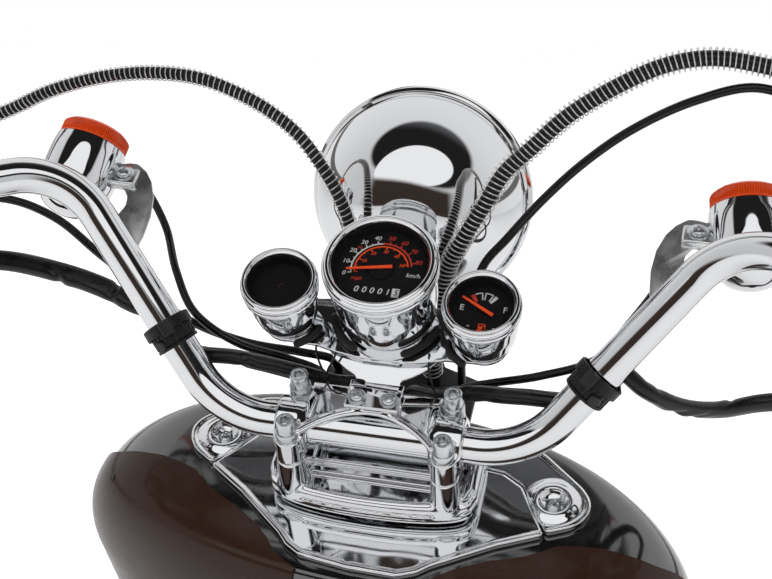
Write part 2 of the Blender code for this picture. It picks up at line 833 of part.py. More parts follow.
def headlamp_bracket():
    """Steel plate ahead of the yoke that carries the headlamp and guides the hoses."""
    start = yoke_front + fit
    half = 0.058
    middle = -0.045
    thick = 0.005
    right = [(0.0, lamp_post_y + 0.014), (0.016, lamp_post_y + 0.010), (0.030, 0.108), (half, 0.098), (half, start)]
    base = plate("headlamp_bracket", [mirrored(right)], thick, steering_frame, black_steel, (0, 0, middle))
    post_base = middle + thick / 2 - 0.001
    post = cylinder(
        "bracket_post", lamp_post_radius, lamp_post_top - fit - post_base, steering_frame, None,
        (0, lamp_post_y, post_base), group=cutters,
    )
    return join(base, post)


headlamp_bracket()
guide_top = -0.0425


def signal_bowl_profile(grow=0.0):
    """Side of a turn signal's bowl, from its lens down to its rounded back, grown outwards if asked."""
    mouth, wide, depth = signal_lens_radius, signal_bowl_radius, signal_bowl_depth
    side = [
        (mouth - 0.001, 0.0), (mouth + 0.001, -0.002), (wide, -depth * 0.28), (wide, -depth * 0.5),
        (wide * 0.90, -depth * 0.74), (wide * 0.64, -depth * 0.91), (wide * 0.3, -depth * 0.985),
    ]
    return [(0.0, 0.0), *((radius + grow, height) for radius, height in side), (0.0, -depth - grow)]


def signals():
    """Chromed bowl, lens and mount of each turn signal."""
    for word, side in SIDES.items():
        axis = flip(signal_axis, side)
        frame = empty(f"{word}_signal_frame", steering_frame, flip(signal_lens_place, side), aim(axis))
        turned(f"{word}_signal_bowl", signal_bowl_profile(), frame, chrome)
        edge = signal_lens_radius
        lens = [
            (0.0, 0.016), (edge * 0.5, 0.0150), (edge * 0.85, 0.0120), (edge, 0.0080), (edge, fit), (0.0, fit),
        ]
        turned(f"{word}_signal_lens", lens, frame, orange)
        signal_mount(word, side, frame)


def signal_mount(word, side, frame):
    """Crescent sheet forward from the bar and the block at its end that the screw and the bowl sit on."""
    screw = flip(signal_screw_place, side)
    middle = Vector((screw.x, screw.y, screw.z - 0.003))
    crescent = [
        (0.203, 0.0118), (0.198, 0.0118), (0.190, 0.006), (0.184, -0.002), (0.179, -0.015), (0.177, -0.031),
        (0.178, -0.047), (0.181, -0.060), (0.187, -0.062), (0.196, -0.056), (0.203, -0.047), (0.204, -0.040),
        (0.201, -0.031), (0.198, -0.024), (0.1985, -0.017), (0.203, -0.010), (0.219, -0.010), (0.219, 0.010),
    ]
    bracket = plate(
        f"{word}_signal_bracket", [[(side * x, y) for x, y in crescent]], sheet * 0.6, steering_frame, chrome,
        (0, middle.y, middle.z), (signal_sheet_tilt, 0, 0),
    )
    block_size = Vector((0.022, 0.016, 0.016))
    block = box(
        f"{word}_signal_block", block_size, steering_frame, None, (middle.x, middle.y - 0.001, middle.z),
        group=cutters, rounding=0.001,
    )
    face = Vector((middle.x, middle.y - 0.001 - block_size.y / 2, middle.z))
    join(bracket, block, pan_screw(f"{word}_signal_screw", steering_frame, face, (math.pi / 2, 0, 0)))
    return cut(
        bracket, turned(f"{word}_bowl_seat", signal_bowl_profile(fit), frame, None, group=cutters),
        to_mesh(bar_tube(f"{word}_bracket_seat", bar_radius + fit, None, cutters)),
    )


signals()


def steering_head():
    """Head tube with its cups, down tube stub and the plate that carries collar and shield."""
    cup = cup_height
    profile = [
        (0.0, head_top), (cup_radius, head_top), (cup_radius, head_top - cup), (head_radius, head_top - cup - 0.004),
        (head_radius, head_bottom + cup + 0.004), (cup_radius, head_bottom + cup), (cup_radius, head_bottom),
        (0.0, head_bottom),
    ]
    head = turned("steering_head", profile, body_frame, black_steel)
    back = down_tube_back
    route = [
        (0, -0.004, head_top - 0.025), (0, back * 0.5, head_top - 0.077), (0, back * 0.84, head_top - 0.117),
        (0, back, head_top - 0.160), (0, back, -down_tube_depth - 0.02),
    ]
    stub = to_mesh(tube("down_tube", smooth(route, 0.020), down_tube_radius, body_frame, None, 4, cutters))
    cut(stub, box("below_the_end", (0.1, 0.1, 0.1), None, None, (0, 0, -0.05), group=cutters))
    shelf_thick = 0.005
    shelf_top = shield_top - shield_wall - fit
    shelf = box(
        "shelf", (0.230, 0.050, shelf_thick), body_frame, None, (0, 0.004, shelf_top - shelf_thick / 2), group=cutters,
        rounding=0.001,
    )
    join(head, stub, shelf)
    for word, side in SIDES.items():
        depth = 0.045
        join(head, box(
            f"{word}_gusset", (0.004, 0.040, depth), body_frame, None,
            (side * 0.0265, 0.002, shelf_top - 0.002 - depth / 2), group=cutters,
        ))
    half_step = math.pi / ROUND
    return cut(head, cylinder(
        "head_bore", head_bore, 0.3, body_frame, None, (0, 0, head_bottom - 0.02), (0, 0, half_step), cutters,
    ), cylinder(
        "shelf_hole", 0.0215, 0.02, body_frame, None, (0, 0, shelf_top - shelf_thick - 0.008), group=cutters,
    ))


steering_head()


def shield_point(level, angle):
    """Point of the leg shield's skin: level 0 at the hole in its top, 1 at its lower edge."""
    hole_half, hole_depth = 0.060, 0.034
    half, front, rear, height, spread = shield_flat_half, shield_flat_front, shield_flat_rear, shield_top, 0.0
    if level < shoulder_start:
        share = level / shoulder_start
        half = hole_half + (half - hole_half) * share
        front = hole_depth + (front - hole_depth) * share
        rear = hole_depth + (rear - hole_depth) * share
    else:
        turn = math.pi / 2 * min(1.0, (level - shoulder_start) / (shoulder_end - shoulder_start))
        share = max(0.0, (level - shoulder_end) / (1 - shoulder_end))
        spread = math.sin(turn)
        half += (shield_half - half) * spread - shield_taper * share
        front += shield_swell * spread
        rear += shield_swell * spread
        height -= shield_shoulder * (1 - math.cos(turn)) + (shield_top - shield_shoulder - shield_bottom) * share
    square = shield_square[0] + (shield_square[1] - shield_square[0]) * spread
    c, s = math.cos(angle), math.sin(angle)
    x = half * math.copysign(abs(c) ** (2 / square), c)
    y = (front if s > 0 else rear) * math.copysign(abs(s) ** (2 / square), s)
    return Vector((x, y, height))


def above_shield(level, angle, out):
    """Point a distance out from the leg shield's skin."""
    step = 0.02
    down = shield_point(level + step, angle) - shield_point(level - step, angle)
    along = shield_point(level, angle + step) - shield_point(level, angle - step)
    return shield_point(level, angle) + out * down.cross(along).normalized()


def skin(name, levels, angles, thickness, look, out=0.0, closed=False):
    """A sheet over part of the leg shield's surface, given its thickness inwards."""
    mesh = bpy.data.meshes.new(name)
    verts = [above_shield(level, angle, out) if out else shield_point(level, angle) for level in levels for angle in angles]
    wide = len(angles)
    steps = wide if closed else wide - 1
    faces = [
        (row * wide + k, (row + 1) * wide + k, (row + 1) * wide + (k + 1) % wide, row * wide + (k + 1) % wide)
        for row in range(len(levels) - 1)
        for k in range(steps)
    ]
    mesh.from_pydata(verts, [], faces)
    mesh.shade_smooth()
    item = place_object(name, mesh, body_frame, look, (0, 0, 0), (0, 0, 0), parts)
    wall = item.modifiers.new("wall", "SOLIDIFY")
    wall.thickness = thickness
    wall.offset = -1.0
    wall.use_even_offset = True
    return item


shoulder_levels = [shoulder_start + (shoulder_end - shoulder_start) * k / 4 for k in range(5)]


def leg_shield():
    """Top of the leg shield, a hollow moulding open below, with a gloss panel for each knee."""
    around = 36
    angles = [2 * math.pi * k / around for k in range(around)]
    skin("leg_shield", [0.0, *shoulder_levels, 1.0], angles, shield_wall, black_gloss, closed=True)
    for word, first in (("left", 19), ("right", 29)):
        skin(
            f"{word}_knee_panel", [*shoulder_levels[1:], 0.96], angles[first : first + 7], panel_thick, black_gloss,
            out=panel_thick + panel_gap,
        )


leg_shield()


def collar():
    """Chromed collar in two mouldings that meet at a seam, with a screw well in each wing."""
    middle = collar_top - collar_thick / 2
    gap = seam / 2
    wing = [
        (0.0, 0.074), (0.060, 0.073), (0.109, 0.062), (0.143, 0.037), (0.150, 0.029), (0.1525, 0.020), (0.150, 0.010),
        (0.143, 0.001), (0.126, -0.009 + gap), (0.101, 0.028 + gap), (0.086, 0.036 + gap), (0.0, 0.040 + gap),
    ]
    front = plate("front_collar", [mirrored(wing)], collar_thick, body_frame, chrome, (0, 0, middle))
    bevel(front, 0.0018)
    rear_half = [
        (0.0, 0.040 - gap), (0.086, 0.036 - gap), (0.101, 0.028 - gap), (0.126 - gap, -0.0105), (0.095, -0.028),
        (0.056, -0.056), (0.048, -0.064), (0.036, -0.070), (0.0, -0.072),
    ]
    rear = plate("rear_collar", [mirrored(rear_half)], collar_thick, body_frame, chrome, (0, 0, middle))
    bevel(rear, 0.0018)
    cut(rear, cylinder(
        "collar_hole", 0.030, 0.02, body_frame, None, (0, 0, collar_top - 0.015), group=cutters,
    ))
    for word, side in SIDES.items():
        cut(front, cylinder(
            f"{word}_well", well_radius * 0.85, 0.01, body_frame, None, (side * well_x, well_y, collar_top - well_depth),
            group=cutters, sides=14, end=well_radius * 1.15,
        ))
        join(front, pan_screw(
            f"{word}_collar_screw", body_frame, (side * well_x, well_y, collar_top - well_depth), radius=0.0060,
        ))


collar()


def strap(word, side):
    """Rubber strap round the bar and the sleeve beside it."""
    _, low, _ = half_bar()
    middle = flip(low + rise * strap_at, side)
    axis = flip(rise, side)
    away = flip(strap_side, side)
    away = (away - away.dot(axis) * axis).normalized()
    turn = Matrix((away, axis.cross(away), axis)).transposed().to_euler()
    wall = 0.0025
    inner = hull([(0, 0, bar_radius + fit), (strap_offset, 0, sleeve_radius + fit)])
    outer = hull([(0, 0, bar_radius + fit + wall), (strap_offset, 0, sleeve_radius + fit + wall)])
    band = plate(f"{word}_strap", [outer, inner], 0.016, steering_frame, rubber, middle, turn)
    sleeve_seats[word] = (middle + away * strap_offset, axis)
    return band


sleeve_seats = {}
strap_at = 0.030  # along the climbing part of the bar
strap_side = Vector((0.35, 0.80, -0.45))
strap_offset = 0.0215
sleeve_radius = 0.0065
cord_step = 0.014  # between the points of a cord's line, with more for a thick one
for word, side in SIDES.items():
    strap(word, side)


def leave(word, start, direction, reach=0.016):
    """First two points of a cord that leaves its seat straight."""
    away = (direction.x * starts[word]["forward"] + direction.z * starts[word]["upward"]).normalized()
    return [starts[word][start], starts[word][start] + away * reach]


FORWARD, DOWN = Vector((1.0, 0.0, 0.0)), Vector((0.0, 0.0, -1.0))


def hoses():
    """Brake hoses, cables, wiring sleeves and signal leads, all held at both ends."""
    left_place, left_axis = sleeve_seats["left"]
    right_place, right_axis = sleeve_seats["right"]
    routes = {
        "left_brake_hose": (0.0048, leave("left", "hose", FORWARD) + [
            (-0.345, 0.120, 0.126), (-0.325, 0.141, 0.125), (-0.297, 0.150, 0.135), (-0.267, 0.155, 0.150),
            (-0.227, 0.160, 0.163), (-0.188, 0.160, 0.171), (-0.149, 0.155, 0.174), (-0.118, 0.150, 0.167),
            (-0.094, 0.142, 0.160), (-0.071, 0.132, 0.148), (-0.052, 0.120, 0.129), (-0.040, 0.112, 0.109),
            (-0.032, 0.106, 0.080), (-0.028, 0.100, 0.030), (-0.027, 0.090, -0.010), (-0.027, 0.088, -0.030),
        ]),
        "right_brake_hose": (0.0058, leave("right", "hose", FORWARD) + [
            (0.346, 0.125, 0.168), (0.316, 0.150, 0.190), (0.275, 0.164, 0.206), (0.231, 0.170, 0.213),
            (0.200, 0.170, 0.215), (0.172, 0.165, 0.210), (0.142, 0.155, 0.197), (0.112, 0.145, 0.177),
            (0.091, 0.135, 0.157), (0.073, 0.125, 0.140), (0.060, 0.114, 0.117), (0.047, 0.106, 0.093),
            (0.036, 0.102, 0.067), (0.028, 0.096, 0.020), (0.025, 0.090, -0.010), (0.025, 0.088, -0.030),
        ]),
        "throttle_cable": (0.0031, leave("right", "throttle", DOWN) + [
            (0.352, 0.050, 0.092), (0.346, 0.095, 0.104), (0.330, 0.128, 0.132), (0.305, 0.148, 0.165),
            (0.270, 0.158, 0.190), (0.232, 0.160, 0.202), (0.195, 0.155, 0.192), (0.155, 0.150, 0.167),
            (0.125, 0.140, 0.143), (0.100, 0.128, 0.118), (0.076, 0.116, 0.088), (0.060, 0.110, 0.065),
            (0.050, 0.098, 0.020), (0.047, 0.088, -0.010), (0.047, 0.086, -0.030),
        ]),
        "left_switch_cable": (0.0032, leave("left", "cable", DOWN) + [
            (-0.345, 0.060, 0.098), (-0.325, 0.100, 0.086), (-0.295, 0.110, 0.080), (-0.258, 0.104, 0.071),
            (-0.227, 0.095, 0.050), (-0.195, 0.086, 0.030), (-0.155, 0.072, 0.014), (-0.110, 0.066, 0.004),
            (-0.070, 0.072, -0.006), (-0.050, 0.080, -0.018), (-0.047, 0.083, -0.030),
        ]),
        "left_signal_lead": (0.0030, signal_exit("left") + [
            (-0.194, 0.135, 0.072), (-0.184, 0.127, 0.052), (-0.166, 0.092, 0.043), (-0.146, 0.066, 0.030),
            (-0.110, 0.050, 0.020), (-0.075, 0.052, 0.008), (-0.052, 0.060, -0.012), (-0.050, 0.062, -0.030),
        ]),
        "right_signal_lead": (0.0030, signal_exit("right") + [
            (0.194, 0.135, 0.072), (0.184, 0.127, 0.052), (0.166, 0.092, 0.043), (0.146, 0.066, 0.030),
            (0.110, 0.052, 0.022), (0.075, 0.052, 0.008), (0.052, 0.060, -0.012), (0.050, 0.062, -0.030),
        ]),
        "left_wiring_sleeve": (sleeve_radius, leave("left", "sleeve", DOWN) + [
            (-0.345, 0.030, 0.080), (-0.315, 0.058, 0.064), (-0.283, 0.066, 0.060), (-0.241, 0.060, 0.061),
            (-0.207, 0.052, 0.059), (-0.180, 0.046, 0.052), left_place + left_axis * 0.014,
            left_place - left_axis * 0.014, (-0.103, 0.034, 0.022), (-0.066, 0.037, 0.012), (-0.036, 0.044, -0.004),
            (-0.016, 0.058, -0.018), (-0.010, 0.062, -0.030),
        ]),
        "right_wiring_sleeve": (sleeve_radius, leave("right", "sleeve", DOWN) + [
            (0.345, 0.030, 0.075), (0.315, 0.075, 0.024), (0.284, 0.086, -0.008), (0.259, 0.085, -0.016),
            (0.236, 0.074, -0.014), (0.208, 0.056, 0.004), (0.182, 0.046, 0.027), right_place + right_axis * 0.014,
            right_place - right_axis * 0.014, (0.098, 0.034, 0.018), (0.066, 0.039, 0.010), (0.040, 0.046, -0.005),
            (0.020, 0.058, -0.018), (0.012, 0.062, -0.030),
        ]),
    }
    for name, (radius, points) in routes.items():
        end = Vector((points[-1][0], points[-1][1], guide_top + fit))
        tube(name, smooth(points, cord_step + 3 * radius) + [end], radius, steering_frame, rubber, resolution=2)


def signal_exit(word):
    """Start of a signal's lead, out of the front of its block."""
    side = SIDES[word]
    block = flip(signal_screw_place, side)
    return [block + Vector((-side * 0.003, 0.0073, -0.006)), block + Vector((-side * 0.003, 0.0140, -0.006)),
            block + Vector((-side * 0.008, 0.0150, -0.022))]


hoses()
bpy.context.view_layer.update()
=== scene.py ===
"""Looks of a chopper-style scooter's cockpit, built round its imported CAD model.

Steering frame: origin in the middle of the handlebar tube, x to the rider's right, y forward, z up along the
steering axis. Body frame: the same without the turn of the bars. All sizes are in metres.
"""

import json
import math

import bmesh
import bpy
import numpy as np
from mathutils import Matrix, Vector

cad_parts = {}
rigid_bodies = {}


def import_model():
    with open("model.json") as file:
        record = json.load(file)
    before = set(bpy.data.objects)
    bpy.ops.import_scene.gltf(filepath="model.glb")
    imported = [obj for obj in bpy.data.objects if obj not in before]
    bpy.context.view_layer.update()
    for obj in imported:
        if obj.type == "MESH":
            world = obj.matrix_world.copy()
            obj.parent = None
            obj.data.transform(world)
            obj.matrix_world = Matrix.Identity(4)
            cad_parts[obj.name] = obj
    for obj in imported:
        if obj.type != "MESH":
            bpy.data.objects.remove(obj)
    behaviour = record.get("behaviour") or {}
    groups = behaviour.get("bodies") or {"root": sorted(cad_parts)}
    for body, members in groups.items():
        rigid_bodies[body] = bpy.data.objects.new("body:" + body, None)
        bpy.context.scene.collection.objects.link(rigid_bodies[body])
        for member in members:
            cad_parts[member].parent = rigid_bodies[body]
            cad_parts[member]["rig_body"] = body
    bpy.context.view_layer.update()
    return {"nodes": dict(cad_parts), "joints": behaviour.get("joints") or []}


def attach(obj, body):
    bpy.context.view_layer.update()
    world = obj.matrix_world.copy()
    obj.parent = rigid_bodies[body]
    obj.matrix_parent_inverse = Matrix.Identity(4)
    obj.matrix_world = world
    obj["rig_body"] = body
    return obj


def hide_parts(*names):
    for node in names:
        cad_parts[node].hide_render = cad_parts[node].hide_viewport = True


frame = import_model()

bl_info = {
    "name": "Scooter cockpit",
    "version": (1, 0, 0),
    "blender": (4, 5, 0),
    "location": "3D View > Sidebar > Cockpit",
    "description": "Builds the looks of a chromed scooter cockpit piece by piece",
    "category": "Add Mesh",
}

# Frames
RAKE = math.radians(27.0)
TURN = math.radians(4.8)
BAR_MIDDLE = Vector(frame["joints"][0]["pos_m"])
BODY = Matrix.Translation(BAR_MIDDLE) @ Matrix.Rotation(RAKE, 4, "X")
STEER = BODY @ Matrix.Rotation(TURN, 4, "Z")
BARS, FRAME = "handlebars", "frame"
SIDES = {"left": -1.0, "right": 1.0}
X, Y, Z = Vector((1, 0, 0)), Vector((0, 1, 0)), Vector((0, 0, 1))

# Sizes that many pieces share
FIT = 0.0003  # gap between pieces that touch
BAR_RADIUS, BORE = 0.0127, 0.0131


def linear(code):
    """Linear colour of an sRGB hex value."""
    values = np.array([int(code[k : k + 2], 16) for k in (1, 3, 5)]) / 255.0
    low, high = values / 12.92, ((values + 0.055) / 1.055) ** 2.4
    return tuple(float(v) for v in np.where(values <= 0.04045, low, high))


class CockpitSizes(bpy.types.PropertyGroup):
    """Sizes that a user would change."""

    bar_radius: bpy.props.FloatProperty(
        name="Bar radius", description="Outside radius of the handlebar tube", default=BAR_RADIUS,
        unit="LENGTH")
    left_spring_pitch: bpy.props.FloatProperty(
        name="Left spring pitch", description="Rise of one turn of the left hose's guard", default=0.0041,
        unit="LENGTH")
    right_spring_pitch: bpy.props.FloatProperty(
        name="Right spring pitch", description="Rise of one turn of the right hose's guard", default=0.0038,
        unit="LENGTH")
    lens_ribs: bpy.props.IntProperty(
        name="Lens ribs", description="Ribs round each turn signal's lens", default=90, min=12, max=160)
    wave: bpy.props.FloatProperty(
        name="Casting wave", description="Height of the slow waves in cast chrome", default=0.0002,
        unit="LENGTH")


class CockpitColours(bpy.types.PropertyGroup):
    """Colours that a user would change."""

    chrome: bpy.props.FloatVectorProperty(
        name="Chrome", description="Reflection of chrome plate", subtype="COLOR", default=linear("#E6E7E9"))
    amber: bpy.props.FloatVectorProperty(
        name="Amber", description="Turn signal lens", subtype="COLOR", default=linear("#DE4A0C"))
    pointer: bpy.props.FloatVectorProperty(
        name="Pointer", description="Gauge pointers", subtype="COLOR", default=linear("#FF5218"))
    dial_red: bpy.props.FloatVectorProperty(
        name="Dial red", description="Red print on the dials", subtype="COLOR", default=linear("#D8402C"))
    dial_white: bpy.props.FloatVectorProperty(
        name="Dial white", description="White print on the dials", subtype="COLOR", default=linear("#E8E8E6"))
    black_gloss: bpy.props.FloatVectorProperty(
        name="Gloss black", description="Leg shield moulding", subtype="COLOR", default=linear("#0D0C0C"))


# Shapes: (vertices, faces) pairs worked out on grids


def grid_faces(rows, columns, wrap_rows=False, wrap_columns=False):
    """Quads between neighbours of a rows x columns grid, wrapped round where asked."""
    r = np.arange(rows if wrap_rows else rows - 1)
    c = np.arange(columns if wrap_columns else columns - 1)
    r, c = (a.ravel() for a in np.meshgrid(r, c, indexing="ij"))
    r1, c1 = (r + 1) % rows, (c + 1) % columns
    return np.stack([r * columns + c, r * columns + c1, r1 * columns + c1, r1 * columns + c], 1)


def surface(points, wrap_rows=False, wrap_columns=False):
    """Shape of a grid of points, rows x columns x 3."""
    points = np.asarray(points, float)
    rows, columns = points.shape[:2]
    return points.reshape(-1, 3), grid_faces(rows, columns, wrap_rows, wrap_columns).tolist()


def capped(shape, rows, columns):
    """The same tube-like shape with a flat face over its first and last row."""
    points, faces = shape
    first = list(range(columns))
    last = list(range((rows - 1) * columns, rows * columns))
    return points, [*faces, first[::-1], last]


def joined(*shapes):
    """Several shapes as one."""
    points, faces, start = [], [], 0
    for own, own_faces in shapes:
        points.append(own)
        faces += [[k + start for k in face] for face in own_faces]
        start += len(own)
    return np.concatenate(points), faces


def moved(shape, matrix):
    """A shape carried by a matrix."""
    m = np.array(matrix)
    return shape[0] @ m[:3, :3].T + m[:3, 3], shape[1]


def shift(x, y, z):
    """Matrix of a move."""
    return Matrix.Translation((x, y, z))


def spin(angle, axis):
    """Matrix of a turn about one of the axes."""
    return Matrix.Rotation(angle, 4, axis)


def round_angles(count):
    """Angles of a full turn in equal steps."""
    return np.linspace(0, 2 * math.pi, count, endpoint=False)


def at(place, z=Z, x=X):
    """Matrix with its origin on place, z along z and x as near x as it can be."""
    z = Vector(z).normalized()
    x = Vector(x)
    x = (x - x.dot(z) * z).normalized()
    m = Matrix((x, z.cross(x), z)).transposed().to_4x4()
    m.translation = Vector(place)
    return m


def fillet(corners, radius, count=5, closed=True):
    """Polyline with each corner rounded: an arc tangent to both legs, shortened where they are too short."""
    p = np.asarray(corners, float)
    out = []
    for k in range(len(p)):
        if not closed and k in (0, len(p) - 1):
            out.append(p[k])
            continue
        a, b = p[k - 1] - p[k], p[(k + 1) % len(p)] - p[k]
        la, lb = np.linalg.norm(a), np.linalg.norm(b)
        a, b = a / la, b / lb
        angle = math.acos(float(np.clip(a @ b, -1, 1)))
        own = radius[k] if hasattr(radius, "__len__") else radius
        if math.pi - angle < 0.05 or own <= 0:
            out.append(p[k])
            continue
        reach = min(own / math.tan(angle / 2), 0.48 * la, 0.48 * lb)
        t = np.linspace(0, 1, count + 1)[:, None]
        start, end = p[k] + a * reach, p[k] + b * reach
        weight = math.sin(angle / 2)
        w = (1 - t) ** 2 + 2 * weight * t * (1 - t) + t**2
        out.extend(((1 - t) ** 2 * start + 2 * weight * t * (1 - t) * p[k] + t**2 * end) / w)
    return np.array(out)


def revolve(profile, steps=64, ring=False):
    """Profile of (radius, height) points turned round z: (r cos a, r sin a, h)."""
    p = np.asarray(profile, float)
    a = round_angles(steps)
    points = np.stack([
        p[:, None, 0] * np.cos(a), p[:, None, 0] * np.sin(a), np.broadcast_to(p[:, None, 1], (len(p), steps)),
    ], 2)
    return surface(points, wrap_rows=ring, wrap_columns=True)


def turned(corners, radius, count, steps):
    """Rounded profile turned round z."""
    return revolve(fillet(corners, radius, count), steps)


def smooth(points, spacing):
    """Centripetal Catmull-Rom curve through points, read at about one spacing."""
    p = np.asarray([tuple(q) for q in points], float)
    p = np.concatenate([2 * p[:1] - p[1:2], p, 2 * p[-1:] - p[-2:-1]])
    out = []
    for k in range(1, len(p) - 2):
        a, b, c, d = p[k - 1 : k + 3]
        k1 = np.linalg.norm(b - a) ** 0.5
        k2 = k1 + np.linalg.norm(c - b) ** 0.5
        k3 = k2 + np.linalg.norm(d - c) ** 0.5
        n = max(1, round(float(np.linalg.norm(c - b)) / spacing))
        t = (k1 + (k2 - k1) * np.arange(n) / n)[:, None]
        ab, bc = a + (b - a) * t / k1, b + (c - b) * (t - k1) / (k2 - k1)
        cd = c + (d - c) * (t - k2) / (k3 - k2)
        abc, bcd = ab + (bc - ab) * t / k2, bc + (cd - bc) * (t - k1) / (k3 - k1)
        out.append(abc + (bcd - abc) * (t - k1) / (k2 - k1))
    return np.concatenate([*out, p[-2:-1]])


def lengths(path):
    """Distance along a path at each of its points."""
    return np.concatenate([[0], np.cumsum(np.linalg.norm(np.diff(path, axis=0), axis=1))])


def resampled(path, count):
    """The same path read at equal steps along its length."""
    path = np.asarray(path, float)
    s = lengths(path)
    at_s = np.linspace(0, s[-1], count)
    return np.stack([np.interp(at_s, s, path[:, k]) for k in range(3)], 1), at_s


def frames(path):
    """Tangent, normal and binormal along a path, the normal carried on without twist."""
    path = np.asarray(path, float)
    tangent = np.gradient(path, axis=0)
    tangent /= np.linalg.norm(tangent, axis=1)[:, None]
    normal = np.empty_like(tangent)
    seed = np.cross(tangent[0], (0, 0, 1) if abs(tangent[0][2]) < 0.9 else (0, 1, 0))
    normal[0] = seed / np.linalg.norm(seed)
    for k in range(1, len(path)):
        n = normal[k - 1] - (normal[k - 1] @ tangent[k]) * tangent[k]
        normal[k] = n / np.linalg.norm(n)
    return tangent, normal, np.cross(tangent, normal)


def sweep(path, radius, sides):
    """Round bar along a path: centre + r(s) (n cos a + b sin a), flat-ended."""
    path = np.asarray(path, float)
    _, n, b = frames(path)
    a = round_angles(sides)
    r = np.broadcast_to(radius, (len(path),)).reshape(-1, 1, 1)
    ring = n[:, None] * np.cos(a)[None, :, None] + b[:, None] * np.sin(a)[None, :, None]
    return capped(surface(path[:, None] + r * ring, wrap_columns=True), len(path), sides)


def slab(outline, low, high, edge=0.0, count=3):
    """Plate over a closed outline in x and y, between two heights, with rounded edges."""
    p = np.asarray(outline, float)
    if ((p[:, 0] - np.roll(p[:, 0], 1)) * (p[:, 1] + np.roll(p[:, 1], 1))).sum() > 0:
        p = p[::-1]
    tangent = np.roll(p, -1, 0) - np.roll(p, 1, 0)
    tangent /= np.linalg.norm(tangent, axis=1)[:, None]
    inward = np.stack([-tangent[:, 1], tangent[:, 0]], 1)
    turn = np.linspace(0, math.pi / 2, count + 1) if edge else np.array([0.0])
    levels = [(edge * (1 - math.sin(t)), low + edge * (1 - math.cos(t))) for t in turn]
    levels += [(edge * (1 - math.sin(t)), high - edge * (1 - math.cos(t))) for t in turn[::-1]]
    rows = [np.column_stack([p + inward * inset, np.full(len(p), height)]) for inset, height in levels]
    return capped(surface(rows, wrap_columns=True), len(rows), len(p))


def block(size, rounding, count=3):
    """Box centred on the origin with all its edges rounded."""
    x, y, z = (s / 2 for s in size)
    outline = fillet([(-x, -y), (x, -y), (x, y), (-x, y)], rounding, count)
    return slab(outline, -z, z, rounding, count)


def circle(radius, count):
    """Points round a circle."""
    a = round_angles(count)
    return np.stack([radius * np.cos(a), radius * np.sin(a)], 1)


def arc(centre, radius, start, end, count):
    """Points on an arc, angles in degrees."""
    a = np.radians(np.linspace(start, end, count + 1))
    return np.stack([centre[0] + radius * np.cos(a), centre[1] + radius * np.sin(a)], 1)


def mirrored(half):
    """Closed outline from its right half, listed from front to rear."""
    half = np.asarray(half, float)
    other = half[np.abs(half[:, 0]) > 1e-6][::-1] * (-1, 1)
    return np.concatenate([half, other])


looks = {}
SLOTS = {"chrome_plate": ("tube_chrome", "cast_chrome", "sheet_chrome", "sheet_satin", "zinc", "wire"),
    "black_abs": ("abs",), "black_rubber": ("rubber",), "black_vinyl": ("vinyl", "cable"),
    "black_paint": ("paint",), "black_gloss": ("gloss", "gloss_brown"),
    "clear_window": ("window", "lamp_glass"), "amber_lens": ("amber",), "orange_pointer": ("pointer",),
    "dial_print": ("dial", "unlit", "print_white", "print_red", "print_orange")}


def build(name, shape, look, replaces="", matrix=STEER, sharp=35.0, body=BARS, slot=""):
    """Make a shape a finished piece: merged, facing out, smooth but for sharp edges, riding on its body."""
    points, faces = moved(shape, matrix) if matrix is not None else shape
    slot = slot or next(key for key, names in SLOTS.items() if look in names)
    mesh = bpy.data.meshes.new(name)
    mesh.from_pydata(points.tolist(), [], faces)
    work = bmesh.new()
    work.from_mesh(mesh)
    bmesh.ops.remove_doubles(work, verts=work.verts, dist=1e-6)
    bmesh.ops.recalc_face_normals(work, faces=work.faces)
    work.to_mesh(mesh)
    work.free()
    mesh.shade_smooth()
    mesh.set_sharp_from_angle(angle=math.radians(sharp))
    mesh.materials.append(looks[look])
    piece = bpy.data.objects.new(name, mesh)
    bpy.context.scene.collection.objects.link(piece)
    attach(piece, body)
    if replaces:
        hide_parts(replaces)
    return piece


def dressed(name, look, rounding):
    """The CAD node's own mesh, merged and with its edges rounded, in a better finish."""
    sharp = 30.0
    source = frame["nodes"][name]
    points = np.empty(len(source.data.vertices) * 3)
    source.data.vertices.foreach_get("co", points)
    faces = [list(polygon.vertices) for polygon in source.data.polygons]
    shape = points.reshape(-1, 3), faces
    piece = build(f"{name}_finish", shape, look, name, None, sharp, source["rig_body"])
    work = bmesh.new()
    work.from_mesh(piece.data)
    bmesh.ops.dissolve_limit(work, angle_limit=math.radians(1), verts=work.verts, edges=work.edges)
    work.to_mesh(piece.data)
    work.free()
    edge = piece.modifiers.new("edges", "BEVEL")
    edge.width, edge.segments, edge.limit_method = rounding, 3, "ANGLE"
    edge.angle_limit, edge.harden_normals = math.radians(sharp), False


# Castings: solids given by a distance field, so that every inside corner gets its fillet


def rimmed(q):
    """Distance from how far points lie outside each pair of faces: |max(q, 0)| + min(max q, 0)."""
    return np.linalg.norm(np.maximum(q, 0), axis=1) + np.minimum(q.max(1), 0)


def drum(p, middle, half, radius, rounding):
    """Distance to a round bar along z with rounded rims."""
    out, up = np.hypot(p[:, 0], p[:, 1]) - radius, np.abs(p[:, 2] - middle) - half
    return rimmed(np.stack([out + rounding, up + rounding], 1)) - rounding


def ball_box(p, centre, half, rounding):
    """Distance to a box with rounded edges, q = |p - c| - h + r."""
    q = np.abs(p - np.asarray(centre)) - np.asarray(half) + rounding
    return rimmed(q) - rounding


